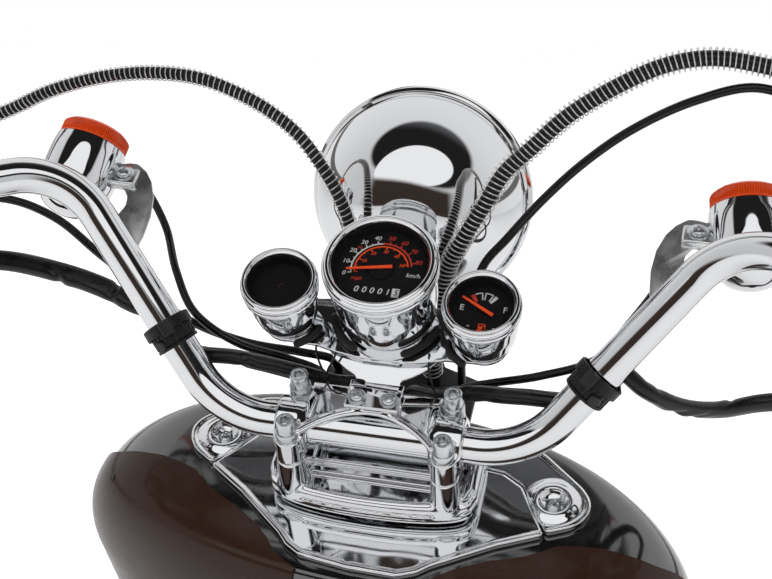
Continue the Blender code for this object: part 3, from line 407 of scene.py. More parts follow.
def post(p, centre, low, high, foot, head, rounding):
    """Distance to an upright round post whose radius runs from foot to head, with rounded rims."""
    share = np.clip((p[:, 2] - low) / (high - low), 0, 1)
    q = np.stack([
        np.hypot(p[:, 0] - centre[0], p[:, 1] - centre[1]) - (foot + (head - foot) * share) + rounding,
        np.abs(p[:, 2] - (low + high) / 2) - (high - low) / 2 + rounding,
    ], 1)
    return rimmed(q) - rounding


def edge_distance(p, outline, closed=True):
    """Signed distance in a plane to a closed outline, negative inside; plain distance to an open line."""
    tall = 1  # points of a grid stand in columns, which share one distance
    while tall < len(p) and (p[tall, :2] == p[0, :2]).all():
        tall += 1
    if tall > 1 and len(p) % tall == 0:
        return np.repeat(edge_distance(p[::tall], outline, closed), tall)
    p, a = p[:, :2], np.asarray(outline, float)[:, :2]
    b = np.roll(a, -1, 0)
    if not closed:
        a, b = a[:-1], b[:-1]
    best, inside = np.full(len(p), 1e9), np.zeros(len(p), bool)
    for (ax, ay), (bx, by) in zip(a, b):
        ex, ey, wx, wy = bx - ax, by - ay, p[:, 0] - ax, p[:, 1] - ay
        t = np.clip((wx * ex + wy * ey) / (ex * ex + ey * ey), 0, 1)
        best = np.minimum(best, (wx - t * ex) ** 2 + (wy - t * ey) ** 2)
        if closed and ay != by:
            crosses = (ay > p[:, 1]) != (by > p[:, 1])
            inside ^= crosses & (p[:, 0] < ax + (p[:, 1] - ay) * ex / ey)
    best = np.sqrt(best)
    return np.where(inside, -best, best) if closed else best


def prism(p, outline, low, high, rounding):
    """Distance to a plate over an outline between two heights, with rounded rims."""
    out, up = edge_distance(p, outline), np.abs(p[:, 2] - (low + high) / 2) - (high - low) / 2
    return rimmed(np.stack([out + rounding, up + rounding], 1)) - rounding


def bead(p, line, height, radius):
    """Distance to a round bead along a level line."""
    return np.hypot(edge_distance(p, line, closed=False), p[:, 2] - height) - radius


def along_x(p, y, z):
    """Distance from an axis that runs along x."""
    return np.hypot(p[:, 1] - y, p[:, 2] - z)


def melt(a, b, width):
    """Join two fields with a fillet about width wide."""
    h = np.maximum(width - np.abs(a - b), 0) / width
    return np.minimum(a, b) - h * h * width / 4


def carve(a, b, width):
    """Cut field b out of field a, the rim rounded about width wide."""
    return -melt(-a, b, width)


def cast(field, low, high, step):
    """Shape of the surface where a field is zero: one vertex a crossed cell, spread evenly, slid onto it."""
    low, high = np.array(low), np.array(high)
    counts = np.ceil((high - low) / step).astype(int) + 1
    axes = [low[k] + step * np.arange(counts[k]) for k in range(3)]
    grid = np.stack(np.meshgrid(*axes, indexing="ij"), 3)
    inside = (field(grid.reshape(-1, 3)) < 0).reshape(counts)
    total = sum(
        inside[i : counts[0] - 1 + i, j : counts[1] - 1 + j, k : counts[2] - 1 + k].astype(int)
        for i in (0, 1) for j in (0, 1) for k in (0, 1)
    )
    crossed = (total > 0) & (total < 8)
    number = np.full(crossed.shape, -1)
    number[crossed] = np.arange(crossed.sum())
    points = grid[:-1, :-1, :-1][crossed] + step / 2
    quads = []
    for axis in range(3):
        n = np.moveaxis(number, axis, 0)
        a = np.moveaxis(inside, axis, 0)
        change = a[:-1, 1:-1, 1:-1] != a[1:, 1:-1, 1:-1]
        out = a[:-1, 1:-1, 1:-1][change]
        quad = np.stack([
            n[:, :-1, :-1][change], n[:, 1:, :-1][change], n[:, 1:, 1:][change], n[:, :-1, 1:][change],
        ], 1)
        if axis == 1:
            out = ~out
        quad[~out] = quad[~out][:, ::-1]
        quads.append(quad)
    quads = np.concatenate(quads)
    ends = np.concatenate([quads[:, (0, 1)], quads[:, (1, 2)], quads[:, (2, 3)], quads[:, (3, 0)]])
    ends = np.concatenate([ends, ends[:, ::-1]])
    degree = np.bincount(ends[:, 0], minlength=len(points)).astype(float)
    tiny = step * 0.02
    for turn in range(9):
        if 2 <= turn < 7:
            sums = [np.bincount(ends[:, 0], points[ends[:, 1], k], len(points)) for k in range(3)]
            points = 0.4 * points + 0.6 * np.stack(sums, 1) / np.maximum(degree, 1)[:, None]
        value = field(points)
        slope = np.stack([field(points + tiny * np.eye(3)[k]) - value for k in range(3)], 1) / tiny
        move = value[:, None] * slope / np.maximum((slope**2).sum(1), 0.05)[:, None]
        length = np.linalg.norm(move, axis=1)[:, None]
        points = points - move * np.minimum(1, 0.5 * step / np.maximum(length, 1e-12))
    return points, quads.tolist()


# Finishes


def node(tree, kind, settings=None, **inputs):
    """Add a shader node with its settings; an input is a value or another node's output socket."""
    new = tree.nodes.new(kind)
    for key, value in (settings or {}).items():
        setattr(new, key, value)
    for key, value in inputs.items():
        key = int(key[1:]) if key[0] == "_" and key[1:].isdigit() else key.replace("_", " ")
        socket = new.inputs[key]
        if isinstance(value, bpy.types.NodeSocket):
            tree.links.new(value, socket)
        else:
            socket.default_value = value
    return new


def blank(name):
    """A new material's tree, its Principled shader and its output."""
    look = bpy.data.materials.new(name)
    look.use_nodes = True
    look.node_tree.nodes.clear()
    tree = look.node_tree
    shader = node(tree, "ShaderNodeBsdfPrincipled")
    out = node(tree, "ShaderNodeOutputMaterial", Surface=shader.outputs[0])
    return look, tree, shader, out


def rgba(colour):
    """Colour with its alpha."""
    return (*tuple(colour)[:3], 1.0)


def finish(name, colour, roughness, metallic=0.0, bump=None, spread=0.0, grime=None, **sockets):
    """A finish with a slow change in roughness and bump layers, each (scale, height in m, detail).

    A scale is one over a feature's real size in metres: 2600 is a mould grain of 0.4 mm, and 22 is a wave
    of 45 mm."""
    look, tree, shader, _ = blank(name)
    place = node(tree, "ShaderNodeTexCoord").outputs["Object"]
    shader.inputs["Metallic"].default_value = metallic
    for key, value in sockets.items():
        shader.inputs[key.replace("_", " ")].default_value = value
    wear = node(tree, "ShaderNodeTexNoise", Vector=place, Scale=70.0, Detail=3.0)
    if spread:
        level = node(tree, "ShaderNodeMapRange", None, Value=wear.outputs["Fac"], **{
            "From Min": 0.35, "From Max": 0.65, "To Min": roughness - spread, "To Max": roughness + spread})
        tree.links.new(level.outputs[0], shader.inputs["Roughness"])
    else:
        shader.inputs["Roughness"].default_value = roughness
    if grime:
        mix = node(tree, "ShaderNodeMix", {"data_type": "RGBA"}, Factor=wear.outputs["Fac"])
        mix.inputs["A"].default_value, mix.inputs["B"].default_value = rgba(colour), rgba(grime)
        tree.links.new(mix.outputs["Result"], shader.inputs["Base Color"])
    else:
        shader.inputs["Base Color"].default_value = rgba(colour)
    normal = None
    for scale, height, detail in bump or ():
        noise = node(tree, "ShaderNodeTexNoise", Vector=place, Scale=scale, Detail=detail)
        layer = node(tree, "ShaderNodeBump", Height=noise.outputs["Fac"], Distance=height, Strength=1.0)
        if normal:
            tree.links.new(normal, layer.inputs["Normal"])
        normal = layer.outputs[0]
    if normal:
        tree.links.new(normal, shader.inputs["Normal"])
    return look


def make_looks(colours, sizes):
    """Every finish of the cockpit, named for its material and how its surface was made."""
    # Polished and chromed steel tube: a mirror, with hardly a wave
    looks["tube_chrome"] = finish("chrome plate on drawn tube", colours.chrome, 0.055, 1.0, spread=0.012)
    # Chromed castings: a mirror over slow waves that bend the reflections
    looks["cast_chrome"] = finish("chrome plate on die casting", colours.chrome, 0.06, 1.0,
        [(22.0, 2.2 * sizes.wave, 0.0), (60.0, 0.4 * sizes.wave, 0.0)], spread=0.015)
    # Spun and pressed sheet under chrome
    looks["sheet_chrome"] = finish(
        "chrome plate on spun sheet", colours.chrome, 0.045, 1.0, [(22.0, 2 * sizes.wave, 0.0)], spread=0.01)
    # Zinc plated fasteners: duller, greyer metal with a fine grain
    looks["zinc"] = finish(
        "zinc plated steel", linear("#E2E5E7"), 0.24, 1.0, [(1800.0, 0.00003, 2.0)], spread=0.06,
        grime=linear("#C2C6C9"))
    # Drawn and coiled wire under zinc: paler and duller than the screws
    looks["wire"] = finish("zinc plated spring wire", linear("#DCDCDC"), 0.38, 1.0, spread=0.05)
    # Pressed sheet under thin chrome: its mirror is blurred
    looks["sheet_satin"] = finish(
        "thin chrome on pressed sheet", linear("#E4E5E6"), 0.30, 1.0, [(60.0, 0.0002, 1.0)], spread=0.05)
    # Moulded ABS: dielectric, satin, with a fine grain
    looks["abs"] = finish(
        "moulded black ABS", linear("#0D0D0E"), 0.42, 0.0, [(2600.0, 0.00004, 2.0)], spread=0.05,
        grime=linear("#141415"))
    # Moulded rubber: dull and dark, with a soft pebbled grain
    looks["rubber"] = finish(
        "moulded black rubber", linear("#070707"), 0.44, 0.0, [(900.0, 0.00006, 3.0)], spread=0.08,
        grime=linear("#0E0E0E"), Specular_IOR_Level=0.35)
    # Extruded soft PVC: small sharp lights on its creases
    looks["vinyl"] = finish("black PVC sleeving", linear("#050505"), 0.30, 0.0,
        [(240.0, 0.0001, 1.0), (1500.0, 0.00003, 1.0)], spread=0.06, grime=linear("#0B0B0B"),
        Specular_IOR_Level=0.4)
    # Extruded hard PVC: one long light along the cable
    looks["cable"] = finish(
        "black PVC cable sheath", linear("#040404"), 0.26, 0.0, [(600.0, 0.00003, 1.0)], spread=0.05,
        Specular_IOR_Level=0.4)
    # Powder coat: black with a broad soft light over an orange-peel grain
    looks["paint"] = finish(
        "black powder coat", linear("#141415"), 0.38, 0.0, [(1100.0, 0.00005, 2.0)], spread=0.05,
        Coat_Weight=0.25, Coat_Roughness=0.2)
    # Gloss moulding: deep black under a clear skin, so it mirrors its surroundings
    looks["gloss"] = finish(
        "gloss black ABS moulding", colours.black_gloss, 0.14, 0.0, [(14.0, 0.0006, 0.0)], spread=0.03,
        Coat_Weight=1.0, Coat_Roughness=0.08, Coat_IOR=1.95)
    # The same moulding in brown-black: its colour shows through a thinner shine
    looks["gloss_brown"] = finish(
        "gloss brown-black ABS moulding", linear("#2E1C14"), 0.30, 0.0, [(14.0, 0.0006, 0.0)], spread=0.03,
        Coat_Weight=0.45, Coat_Roughness=0.10, Coat_IOR=1.35, Specular_IOR_Level=0.15)
    # Screen printing: flat matt black, and inks that stand on it without a shine
    looks["dial"] = finish(
        "screen printed dial", linear("#161617"), 0.55, 0.0, [(3000.0, 0.00002, 1.0)], spread=0.05,
        Specular_IOR_Level=0.15)
    looks["print_white"] = finish("white dial ink", colours.dial_white, 0.5, 0.0, [(3000.0, 0.00002, 1.0)])
    looks["print_red"] = finish("red dial ink", colours.dial_red, 0.5, 0.0, [(3000.0, 0.00002, 1.0)])
    looks["print_orange"] = finish("orange dial ink", colours.pointer, 0.5, 0.0, [(3000.0, 0.00002, 1.0)])
    looks["unlit"] = finish("unlit sign behind smoked plastic", linear("#4A1D14"), 0.5, 0.0,
        [(3000.0, 0.00002, 1.0)])
    # Painted pointers: the orange ink's colour under a slight shine
    looks["pointer"] = finish("fluorescent pointer paint", colours.pointer, 0.35, 0.0,
        [(900.0, 0.00003, 1.0)])
    # Polycarbonate window: clear with a faint smoke
    looks["window"] = finish(
        "clear polycarbonate", linear("#0A0A0A"), 0.03, 0.0, [(60.0, 0.00004, 0.0)], Alpha=0.12)
    # Lamp glass: clear, smooth but for a faint wave; its flutes are part of its shape
    looks["lamp_glass"] = finish("moulded clear lamp glass", linear("#F6F8F8"), 0.03, 0.0,
        [(90.0, 0.0001, 0.0)], Transmission_Weight=1.0, IOR=1.5)
    # Moulded acrylic: light sinks in and comes back orange
    looks["amber"] = finish(
        "moulded amber acrylic", colours.amber, 0.16, 0.0, [(500.0, 0.00004, 1.0)], spread=0.03,
        grime=linear("#B93A08"), Subsurface_Weight=0.12, Subsurface_Scale=0.004)
    shader = looks["amber"].node_tree.nodes["Principled BSDF"]
    shader.inputs["Subsurface Radius"].default_value = (1.0, 0.3, 0.05)


# Handlebar geometry, repeated from the part's source
BAR_STRAIGHT = 0.0735
BAR_RISE, BAR_REACH = 0.1285, 0.218
BEND_LOW, BEND_HIGH = 0.0696, 0.0565
RISE_AZIMUTH, RISE_ELEVATION = math.radians(35.9), math.radians(42.9)
RISE = Vector((
    math.cos(RISE_ELEVATION) * math.cos(RISE_AZIMUTH), math.cos(RISE_ELEVATION) * math.sin(RISE_AZIMUTH),
    math.sin(RISE_ELEVATION),
))


def lean(direction):
    """A world direction, in a frame that leans back by the rake."""
    return Matrix.Rotation(-RAKE, 3, "X") @ Vector(direction).normalized()


REACH = lean((0.80, -0.58, -0.12))


def flip(vector, side):
    """The same vector on the other side of the scooter."""
    return Vector((side * vector[0], vector[1], vector[2]))


def bend(start, before, after, radius, count=24):
    """Points round a bend: start + r (sin a before + (1 - cos a) inward)."""
    angle = before.angle(after)
    inward = (after - before.dot(after) * before).normalized()
    return [
        start + radius * (math.sin(angle * k / count) * before + (1 - math.cos(angle * k / count)) * inward)
        for k in range(1, count + 1)
    ]


def straight(start, end, count):
    """Points from start to end, the start left out."""
    return [start.lerp(end, k / count) for k in range(1, count + 1)]


def half_bar():
    """The right half of the bar's centre line, and where its straight parts start."""
    line = [X * BAR_STRAIGHT]
    line += bend(line[-1], X, RISE, BEND_LOW)
    low = line[-1]
    line += straight(low, low + RISE * BAR_RISE, 12)
    line += bend(line[-1], RISE, REACH, BEND_HIGH)
    high = line[-1]
    line += straight(high, high + REACH * BAR_REACH, 16)
    return line, low, high


BAR_LINE, BAR_LOW, BAR_HIGH = half_bar()


class COCKPIT_OT_stage(bpy.types.Operator):
    """Camera, pale floor, soft lamps and the studio that chrome mirrors"""

    bl_idname = "cockpit.stage"
    bl_label = "Camera and stage"

    def execute(self, context):
        scene = context.scene
        scene.view_settings.view_transform = "Standard"
        camera = bpy.data.objects.new("camera", bpy.data.cameras.new("camera"))
        scene.collection.objects.link(camera)
        place = Vector((0.203398, -0.660646, 0.806395))
        ahead = Vector((-0.19358, 0.69150, -0.69595))
        right = Vector((0.97478, 0.21586, -0.05666))
        view = at(place, -ahead, right)
        camera.matrix_world = STEER @ view
        focal_pixels, image_width = 1525.06, 772
        camera.data.sensor_width = 36.0
        camera.data.lens = focal_pixels * camera.data.sensor_width / image_width
        camera.data.clip_start = 0.05
        scene.camera = camera
        self.world(scene)
        self.floor(scene)
        self.lamp(scene, "key lamp", (-1.2, -0.9, 2.4), 1.4, 26.0)
        self.lamp(scene, "fill lamp", (1.8, -0.6, 1.8), 1.6, 14.0)
        self.lamp(scene, "back lamp", (0.3, 2.2, 2.0), 1.2, 12.0)
        return {"FINISHED"}

    def world(self, scene):
        """White behind the object; for mirrors the studio round it; for all else a plain grey light.

        The studio, by direction: a pale sweep, a white box above the rider in a dark ceiling, both ellipses,
        a dim brown room low behind the rider and a thin dark horizon everywhere else."""
        world = bpy.data.worlds.new("studio")
        scene.world = world
        world.use_nodes = True
        tree = world.node_tree
        tree.nodes.clear()
        path = node(tree, "ShaderNodeLightPath")
        way = node(tree, "ShaderNodeTexCoord").outputs["Generated"]

        def toward(axis):
            dot = node(tree, "ShaderNodeVectorMath", {"operation": "DOT_PRODUCT"}, _0=way, _1=axis)
            return dot.outputs["Value"]

        def math_of(kind, a, b):
            return node(tree, "ShaderNodeMath", {"operation": kind}, _0=a, _1=b).outputs[0]

        def ramp(value, start, end, low=0.0, high=1.0):
            return node(tree, "ShaderNodeMapRange", {"interpolation_type": "SMOOTHSTEP"}, Value=value, **{
                "From Min": start, "From Max": end, "To Min": low, "To Max": high}).outputs[0]

        def ellipse(a, a_middle, a_half, b, b_middle, b_half):
            axes = ((a, a_middle, a_half), (b, b_middle, b_half))
            parts = [math_of("DIVIDE", math_of("SUBTRACT", v, m), h) for v, m, h in axes]
            return math_of("ADD", *(math_of("MULTIPLY", v, v) for v in parts))

        def over(base, colour, share):
            mix = node(tree, "ShaderNodeMix", {"data_type": "RGBA"}, Factor=share)
            for socket, value in (("A", base), ("B", colour)):
                if isinstance(value, bpy.types.NodeSocket):
                    tree.links.new(value, mix.inputs[socket])
                else:
                    mix.inputs[socket].default_value = rgba(value)
            return mix.outputs["Result"]

        tilt = math.radians(50)
        ahead, up, side = toward((0, 1, 0)), toward((0, 0, 1)), toward((1, 0, 0))
        above = toward((0, -math.cos(tilt), math.sin(tilt)))
        climb = toward((0, math.sin(tilt), math.cos(tilt)))
        aslant = math_of("SUBTRACT", climb, math_of("MULTIPLY", side, 0.22))
        front = ramp(above, -0.05, 0.05)
        dark = ramp(ellipse(climb, 0.14, 0.70, side, 0.04, 0.78), 0.90, 1.06, 1.0, 0.0)
        bright = ramp(ellipse(aslant, -0.16, 0.46, side, 0.0, 0.60), 0.96, 1.02, 1.0, 0.0)
        ceiling, box = math_of("MULTIPLY", dark, front), math_of("MULTIPLY", bright, front)
        sweep_level = ramp(ahead, -0.9, 0.8, 0.60, 0.84)
        ceiling_level = ramp(ahead, 0.0, 0.36, 0.014, 0.15)
        studio = over(over((0.02, 0.02, 0.02), (1.0, 1.0, 1.0), sweep_level), (0.0, 0.0, 0.0), ceiling)
        studio = over(studio, (0.97, 0.98, 1.0), math_of("MULTIPLY", ceiling, ceiling_level))
        studio = over(studio, (1.0, 1.0, 1.0), box)
        behind = math_of("MULTIPLY", ramp(ahead, -0.50, -0.30, 1.0, 0.0),
                         ramp(math_of("ABSOLUTE", side, 0.0), 0.50, 0.70, 1.0, 0.0))
        low_back = math_of("MULTIPLY", behind, ramp(up, 0.20, 0.31, 1.0, 0.0))
        studio = over(studio, (0.040, 0.029, 0.024), low_back)
        line = ramp(math_of("ABSOLUTE", math_of("SUBTRACT", up, 0.05), 0.0), 0.035, 0.05, 1.0, 0.0)
        line = math_of("MULTIPLY", line, ramp(ahead, -0.35, -0.10, 0.0, 0.85))
        studio = over(studio, (0.03, 0.028, 0.028), line)
        seen = node(tree, "ShaderNodeMath", {"operation": "MAXIMUM"}, _0=path.outputs["Is Camera Ray"],
                    _1=path.outputs["Is Transmission Ray"])
        level = ramp(seen.outputs[0], 0.0, 1.0, 0.62, 1.0)
        light = node(tree, "ShaderNodeMix", {"data_type": "RGBA"}, Factor=path.outputs["Is Glossy Ray"])
        tree.links.new(level, light.inputs["A"])
        tree.links.new(studio, light.inputs["B"])
        back = node(tree, "ShaderNodeBackground", Color=light.outputs["Result"], Strength=1.0)
        node(tree, "ShaderNodeOutputWorld", Surface=back.outputs[0])

    def floor(self, scene):
        """Pale floor that shows white to the camera but keeps the object's shadow."""
        shape = slab(circle(3.0, 96), -0.02, -0.0005)
        mesh = bpy.data.meshes.new("floor")
        mesh.from_pydata(shape[0].tolist(), [], shape[1])
        floor = bpy.data.objects.new("floor", mesh)
        scene.collection.objects.link(floor)
        look, tree, shader, out = blank("pale studio floor")
        shader.inputs["Base Color"].default_value = rgba(linear("#F2F2F2"))
        shader.inputs["Roughness"].default_value = 0.7
        path = node(tree, "ShaderNodeLightPath")
        glow = node(tree, "ShaderNodeEmission", Color=(1.0, 1.0, 1.0, 1.0), Strength=0.35)
        add = node(tree, "ShaderNodeAddShader", None, _0=shader.outputs[0], _1=glow.outputs[0])
        mix = node(tree, "ShaderNodeMixShader", None, _0=path.outputs["Is Camera Ray"], _1=shader.outputs[0],
                   _2=add.outputs[0])
        tree.links.new(mix.outputs[0], out.inputs["Surface"])
        mesh.materials.append(look)

    def lamp(self, scene, name, place, size, power):
        """A square soft lamp that looks at the cockpit."""
        data = bpy.data.lights.new(name, "AREA")
        data.size, data.energy = size, power
        lamp = bpy.data.objects.new(name, data)
        lamp.matrix_world = at(place, Vector(place) - Vector((0, 0, 0.35)), X if abs(place[0]) < 1 else Y)
        lamp.visible_glossy = False
        scene.collection.objects.link(lamp)


class COCKPIT_OT_handlebar(bpy.types.Operator):
    """Bent chromed tube from grip to grip"""

    bl_idname = "cockpit.handlebar"
    bl_label = "Handlebar"

    def execute(self, context):
        sizes = context.scene.cockpit_sizes
        left = [flip(p, -1) for p in reversed(BAR_LINE)]
        line = left + straight(left[-1], BAR_LINE[0], 8)[:-1] + BAR_LINE
        tube = sweep([tuple(p) for p in line], sizes.bar_radius, 64)
        build("handlebar_tube", tube, "tube_chrome", "handlebar")
        return {"FINISHED"}


# Gauges
GAUGE_LEAN = math.radians(11.9)
SPEEDO_PLACE, POD_PLACE = Vector((0.0, 0.0559, 0.1115)), Vector((0.0702, 0.0473, 0.0917))
SPEEDO_RADIUS, SPEEDO_WINDOW, SPEEDO_DEPTH = 0.0401, 0.0336, 0.066
POD_RADIUS, POD_WINDOW = 0.0272, 0.0224
DIAL_TOP = -0.0095
INK = 0.0001


def gauge_matrix(place):
    """Frame of one gauge: z out of its dial, towards the rider."""
    return STEER @ Matrix.Translation(place) @ spin(GAUGE_LEAN, "X")


class COCKPIT_OT_gauges(bpy.types.Operator):
    """Chromed cans with rolled bezels, printed dials, pointers and windows"""

    bl_idname = "cockpit.gauges"
    bl_label = "Gauges"

    def execute(self, context):
        normal = Matrix.Rotation(GAUGE_LEAN, 3, "X") @ Z
        pod_depth = normal.dot(POD_PLACE - SPEEDO_PLACE) + SPEEDO_DEPTH
        self.case("speedo", gauge_matrix(SPEEDO_PLACE), SPEEDO_RADIUS, SPEEDO_WINDOW, SPEEDO_DEPTH)
        for word, side in SIDES.items():
            self.case(f"{word}_pod", gauge_matrix(flip(POD_PLACE, side)), POD_RADIUS, POD_WINDOW, pod_depth)
        self.speedo_print()
        self.fuel_print()
        self.lamp_print()
        return {"FINISHED"}

    def case(self, word, matrix, outer, window, depth):
        """Can, bezel, dial plate and window of one gauge."""
        body, wall = outer - 0.002, 0.002
        skirt = 0.012
        bezel = fillet([(window - 0.0004, -0.0030), (window - 0.0004, -0.0004), (window + 0.0014, 0.0022),
                (window + 0.0038, 0.0016), (outer - 0.0018, -0.0004), (outer - 0.0020, -0.0018),
                (outer, -0.0024), (outer, -0.0058), (outer - 0.0010, -0.0066), (outer - 0.0004, -0.0080),
                (outer - 0.0004, -skirt + 0.001), (body - 0.0012, -skirt), (body - 0.0012, -0.0070)],
            [0.0004, 0.001, 0.0012, 0.0016, 0.0006, 0.0005, 0.0012, 0.0010, 0.0005, 0.0010, 0.0008, 0.0002,
                0.0002], 4)
        build(f"{word}_bezel_ring", revolve(bezel, 112, ring=True), "sheet_chrome", f"{word}_bezel", matrix)
        top = -skirt - FIT
        can = fillet([(body - wall, top), (body - 0.0004, top), (body - 0.0012, -depth * 0.55),
                (body - 0.0032, -depth + 0.010), (body - 0.0085, -depth), (0.0, -depth), (0.0, -depth + wall),
                (body - 0.0100, -depth + wall)], [0.0002, 0.0006, 0.03, 0.008, 0.004, 0, 0, 0.002], 8)
        build(f"{word}_can_shell", revolve(can, 96, ring=True), "sheet_chrome", f"{word}_can", matrix)
        face = body - 0.0015
        funnel = [(0.0, DIAL_TOP), (window - 0.0026, DIAL_TOP), (window - 0.0008, -0.0030),
            (window - 0.0002, -0.0030), (face, -0.0078), (face, DIAL_TOP - 0.0022), (0.0, DIAL_TOP - 0.0022)]
        build(f"{word}_dial_plate", revolve(funnel, 96), "dial", f"{word}_dial", matrix)
        t = np.linspace(0, 1, 14)
        glass = [(window - FIT) * t, -0.0008 - 0.0008 * t**2]
        glass = np.concatenate([np.stack(glass, 1), np.stack(glass, 1)[::-1] - (0.0, 0.0012)])
        build(f"{word}_window", revolve(glass, 96), "window", f"{word}_glass", matrix)

    def words(self, body, size, place, slope=0.18, weight=0.008):
        """Flat shape of figures or letters centred on a place, from Blender's own font."""
        curve = bpy.data.curves.new("word", "FONT")
        curve.body, curve.size, curve.align_x, curve.align_y = body, size, "CENTER", "CENTER"
        curve.resolution_u, curve.shear, curve.offset = 3, slope, weight * size
        item = bpy.data.objects.new("word", curve)
        bpy.context.scene.collection.objects.link(item)
        bpy.context.view_layer.update()
        mesh = bpy.data.meshes.new_from_object(item.evaluated_get(bpy.context.evaluated_depsgraph_get()))
        points = np.empty(len(mesh.vertices) * 3)
        mesh.vertices.foreach_get("co", points)
        faces = [list(polygon.vertices) for polygon in mesh.polygons]
        bpy.data.objects.remove(item)
        bpy.data.curves.remove(curve)
        bpy.data.meshes.remove(mesh)
        return moved((points.reshape(-1, 3), faces), Matrix.Translation((*place, 0.0)))

    def stroke(self, start, end, width):
        """Flat bar between two points."""
        a, b = np.array(start, float), np.array(end, float)
        across = np.array([a[1] - b[1], b[0] - a[0]]) / np.linalg.norm(b - a) * width / 2
        corners = np.stack([a + across, a - across, b - across, b + across])
        return np.column_stack([corners, np.zeros(4)]), [[0, 1, 2, 3]]

    def band(self, radius, width, start, end, count=48):
        """Flat arc of one width, angles in degrees from 3 o'clock."""
        edges = [arc((0, 0), radius + way * width / 2, start, end, count) for way in (-1, 1)]
        return surface([np.column_stack([p, np.zeros(len(p))]) for p in edges])

    def ink(self, name, shapes, look, matrix, lift=0.00025):
        """Print a flat shape on a dial as a thin raised skin."""
        piece = build(name, joined(*shapes), look, matrix=matrix @ shift(0, 0, DIAL_TOP + lift))
        skin = piece.modifiers.new("ink", "SOLIDIFY")
        skin.thickness, skin.offset = INK, 0.0

    def polar(self, radius, degrees):
        """Point on a circle, the angle in degrees from 3 o'clock."""
        return radius * math.cos(math.radians(degrees)), radius * math.sin(math.radians(degrees))

    def speedo_print(self):
        """Two scales over half a circle, figures 0 to 80 outside, the odometer and the pointer."""
        matrix = gauge_matrix(SPEEDO_PLACE)
        white, red, orange = [], [], []
        start, turn, line, inner = 194.3, -2.2, 0.0206, 0.0182

        def angle(value):
            return start + turn * value

        def mark(radius, length, degrees, whole):
            return self.stroke(self.polar(radius, degrees), self.polar(radius + length, degrees),
                0.0009 if whole else 0.0006)

        white.append(self.band(line, 0.0010, angle(0) + 1.5, angle(44)))
        red.append(self.band(line, 0.0010, angle(44), angle(83)))
        orange.append(self.band(inner, 0.0011, angle(0) + 1.5, angle(83)))
        for value in range(0, 81, 5):
            target = white if value <= 40 else red
            whole = value % 10 == 0
            target.append(mark(line, 0.0023 if whole else 0.0013, angle(value), whole))
            if whole:
                target.append(self.words(str(value), 0.0048, self.polar(0.0255, angle(value))))
        red.append(self.words("30", 0.0030, self.polar(0.0238, angle(25))))
        for number in range(11):
            degrees = start - 17.7 * number
            whole = number % 2 == 0
            orange.append(mark(inner, -0.0024 if whole else -0.0014, degrees, whole))
            if whole and number:
                orange.append(self.words(str(number * 5), 0.0036, self.polar(0.0140, degrees)))
        red.append(self.words("mph", 0.0042, (-0.0152, -0.0095)))
        white.append(self.words("km/h", 0.0048, (0.0226, -0.0030)))
        low, step = -0.0182, 0.0054
        first_digit = -0.0137
        white += [self.words(digit, 0.0066, (first_digit + step * k, low)) for k, digit in enumerate("00001")]
        white.append(self.stroke((first_digit + step * 4.55, low), (first_digit + step * 5.5, low), 0.0070))
        self.ink("speedo_white_print", white, "print_white", matrix)
        self.ink("speedo_red_print", red, "print_red", matrix)
        self.ink("speedo_orange_print", orange, "print_orange", matrix)
        last = [self.words("5", 0.0060, (first_digit + step * 5.03, low))]
        self.ink("speedo_last_digit", last, "dial", matrix, lift=0.0004)
        boss = turned([(0.0, 0.0014), (0.0082, 0.0014), (0.0092, 0.0), (0.0, 0.0)], [0, 0.0008, 0, 0], 4, 64)
        build("speedo_boss", moved(boss, shift(0, 0, DIAL_TOP)), "dial", matrix=matrix)
        self.pointer("speedo", matrix, 190.0, 0.0236, 0.0078)

    def pointer(self, word, matrix, degrees, ahead, behind):
        """Tapered pointer over its dial, on a black hub."""
        corners = [(-behind, -0.00135), (ahead, -0.0008), (ahead, 0.0008), (-behind, 0.00135)]
        blade = slab(fillet(corners, 0.0004, 3), DIAL_TOP + 0.0020, DIAL_TOP + 0.0028, 0.0002)
        blade = moved(blade, spin(math.radians(degrees), "Z"))
        build(f"{word}_pointer", blade, "pointer", f"{word}_needle", matrix)
        hub = turned([(0.0, 0.0020), (0.0018, 0.0020), (0.0020, 0.0), (0.0, 0.0)], [0, 0.0005, 0, 0], 4, 40)
        build(f"{word}_hub", moved(hub, shift(0, 0, DIAL_TOP + 0.0001)), "abs", matrix=matrix)

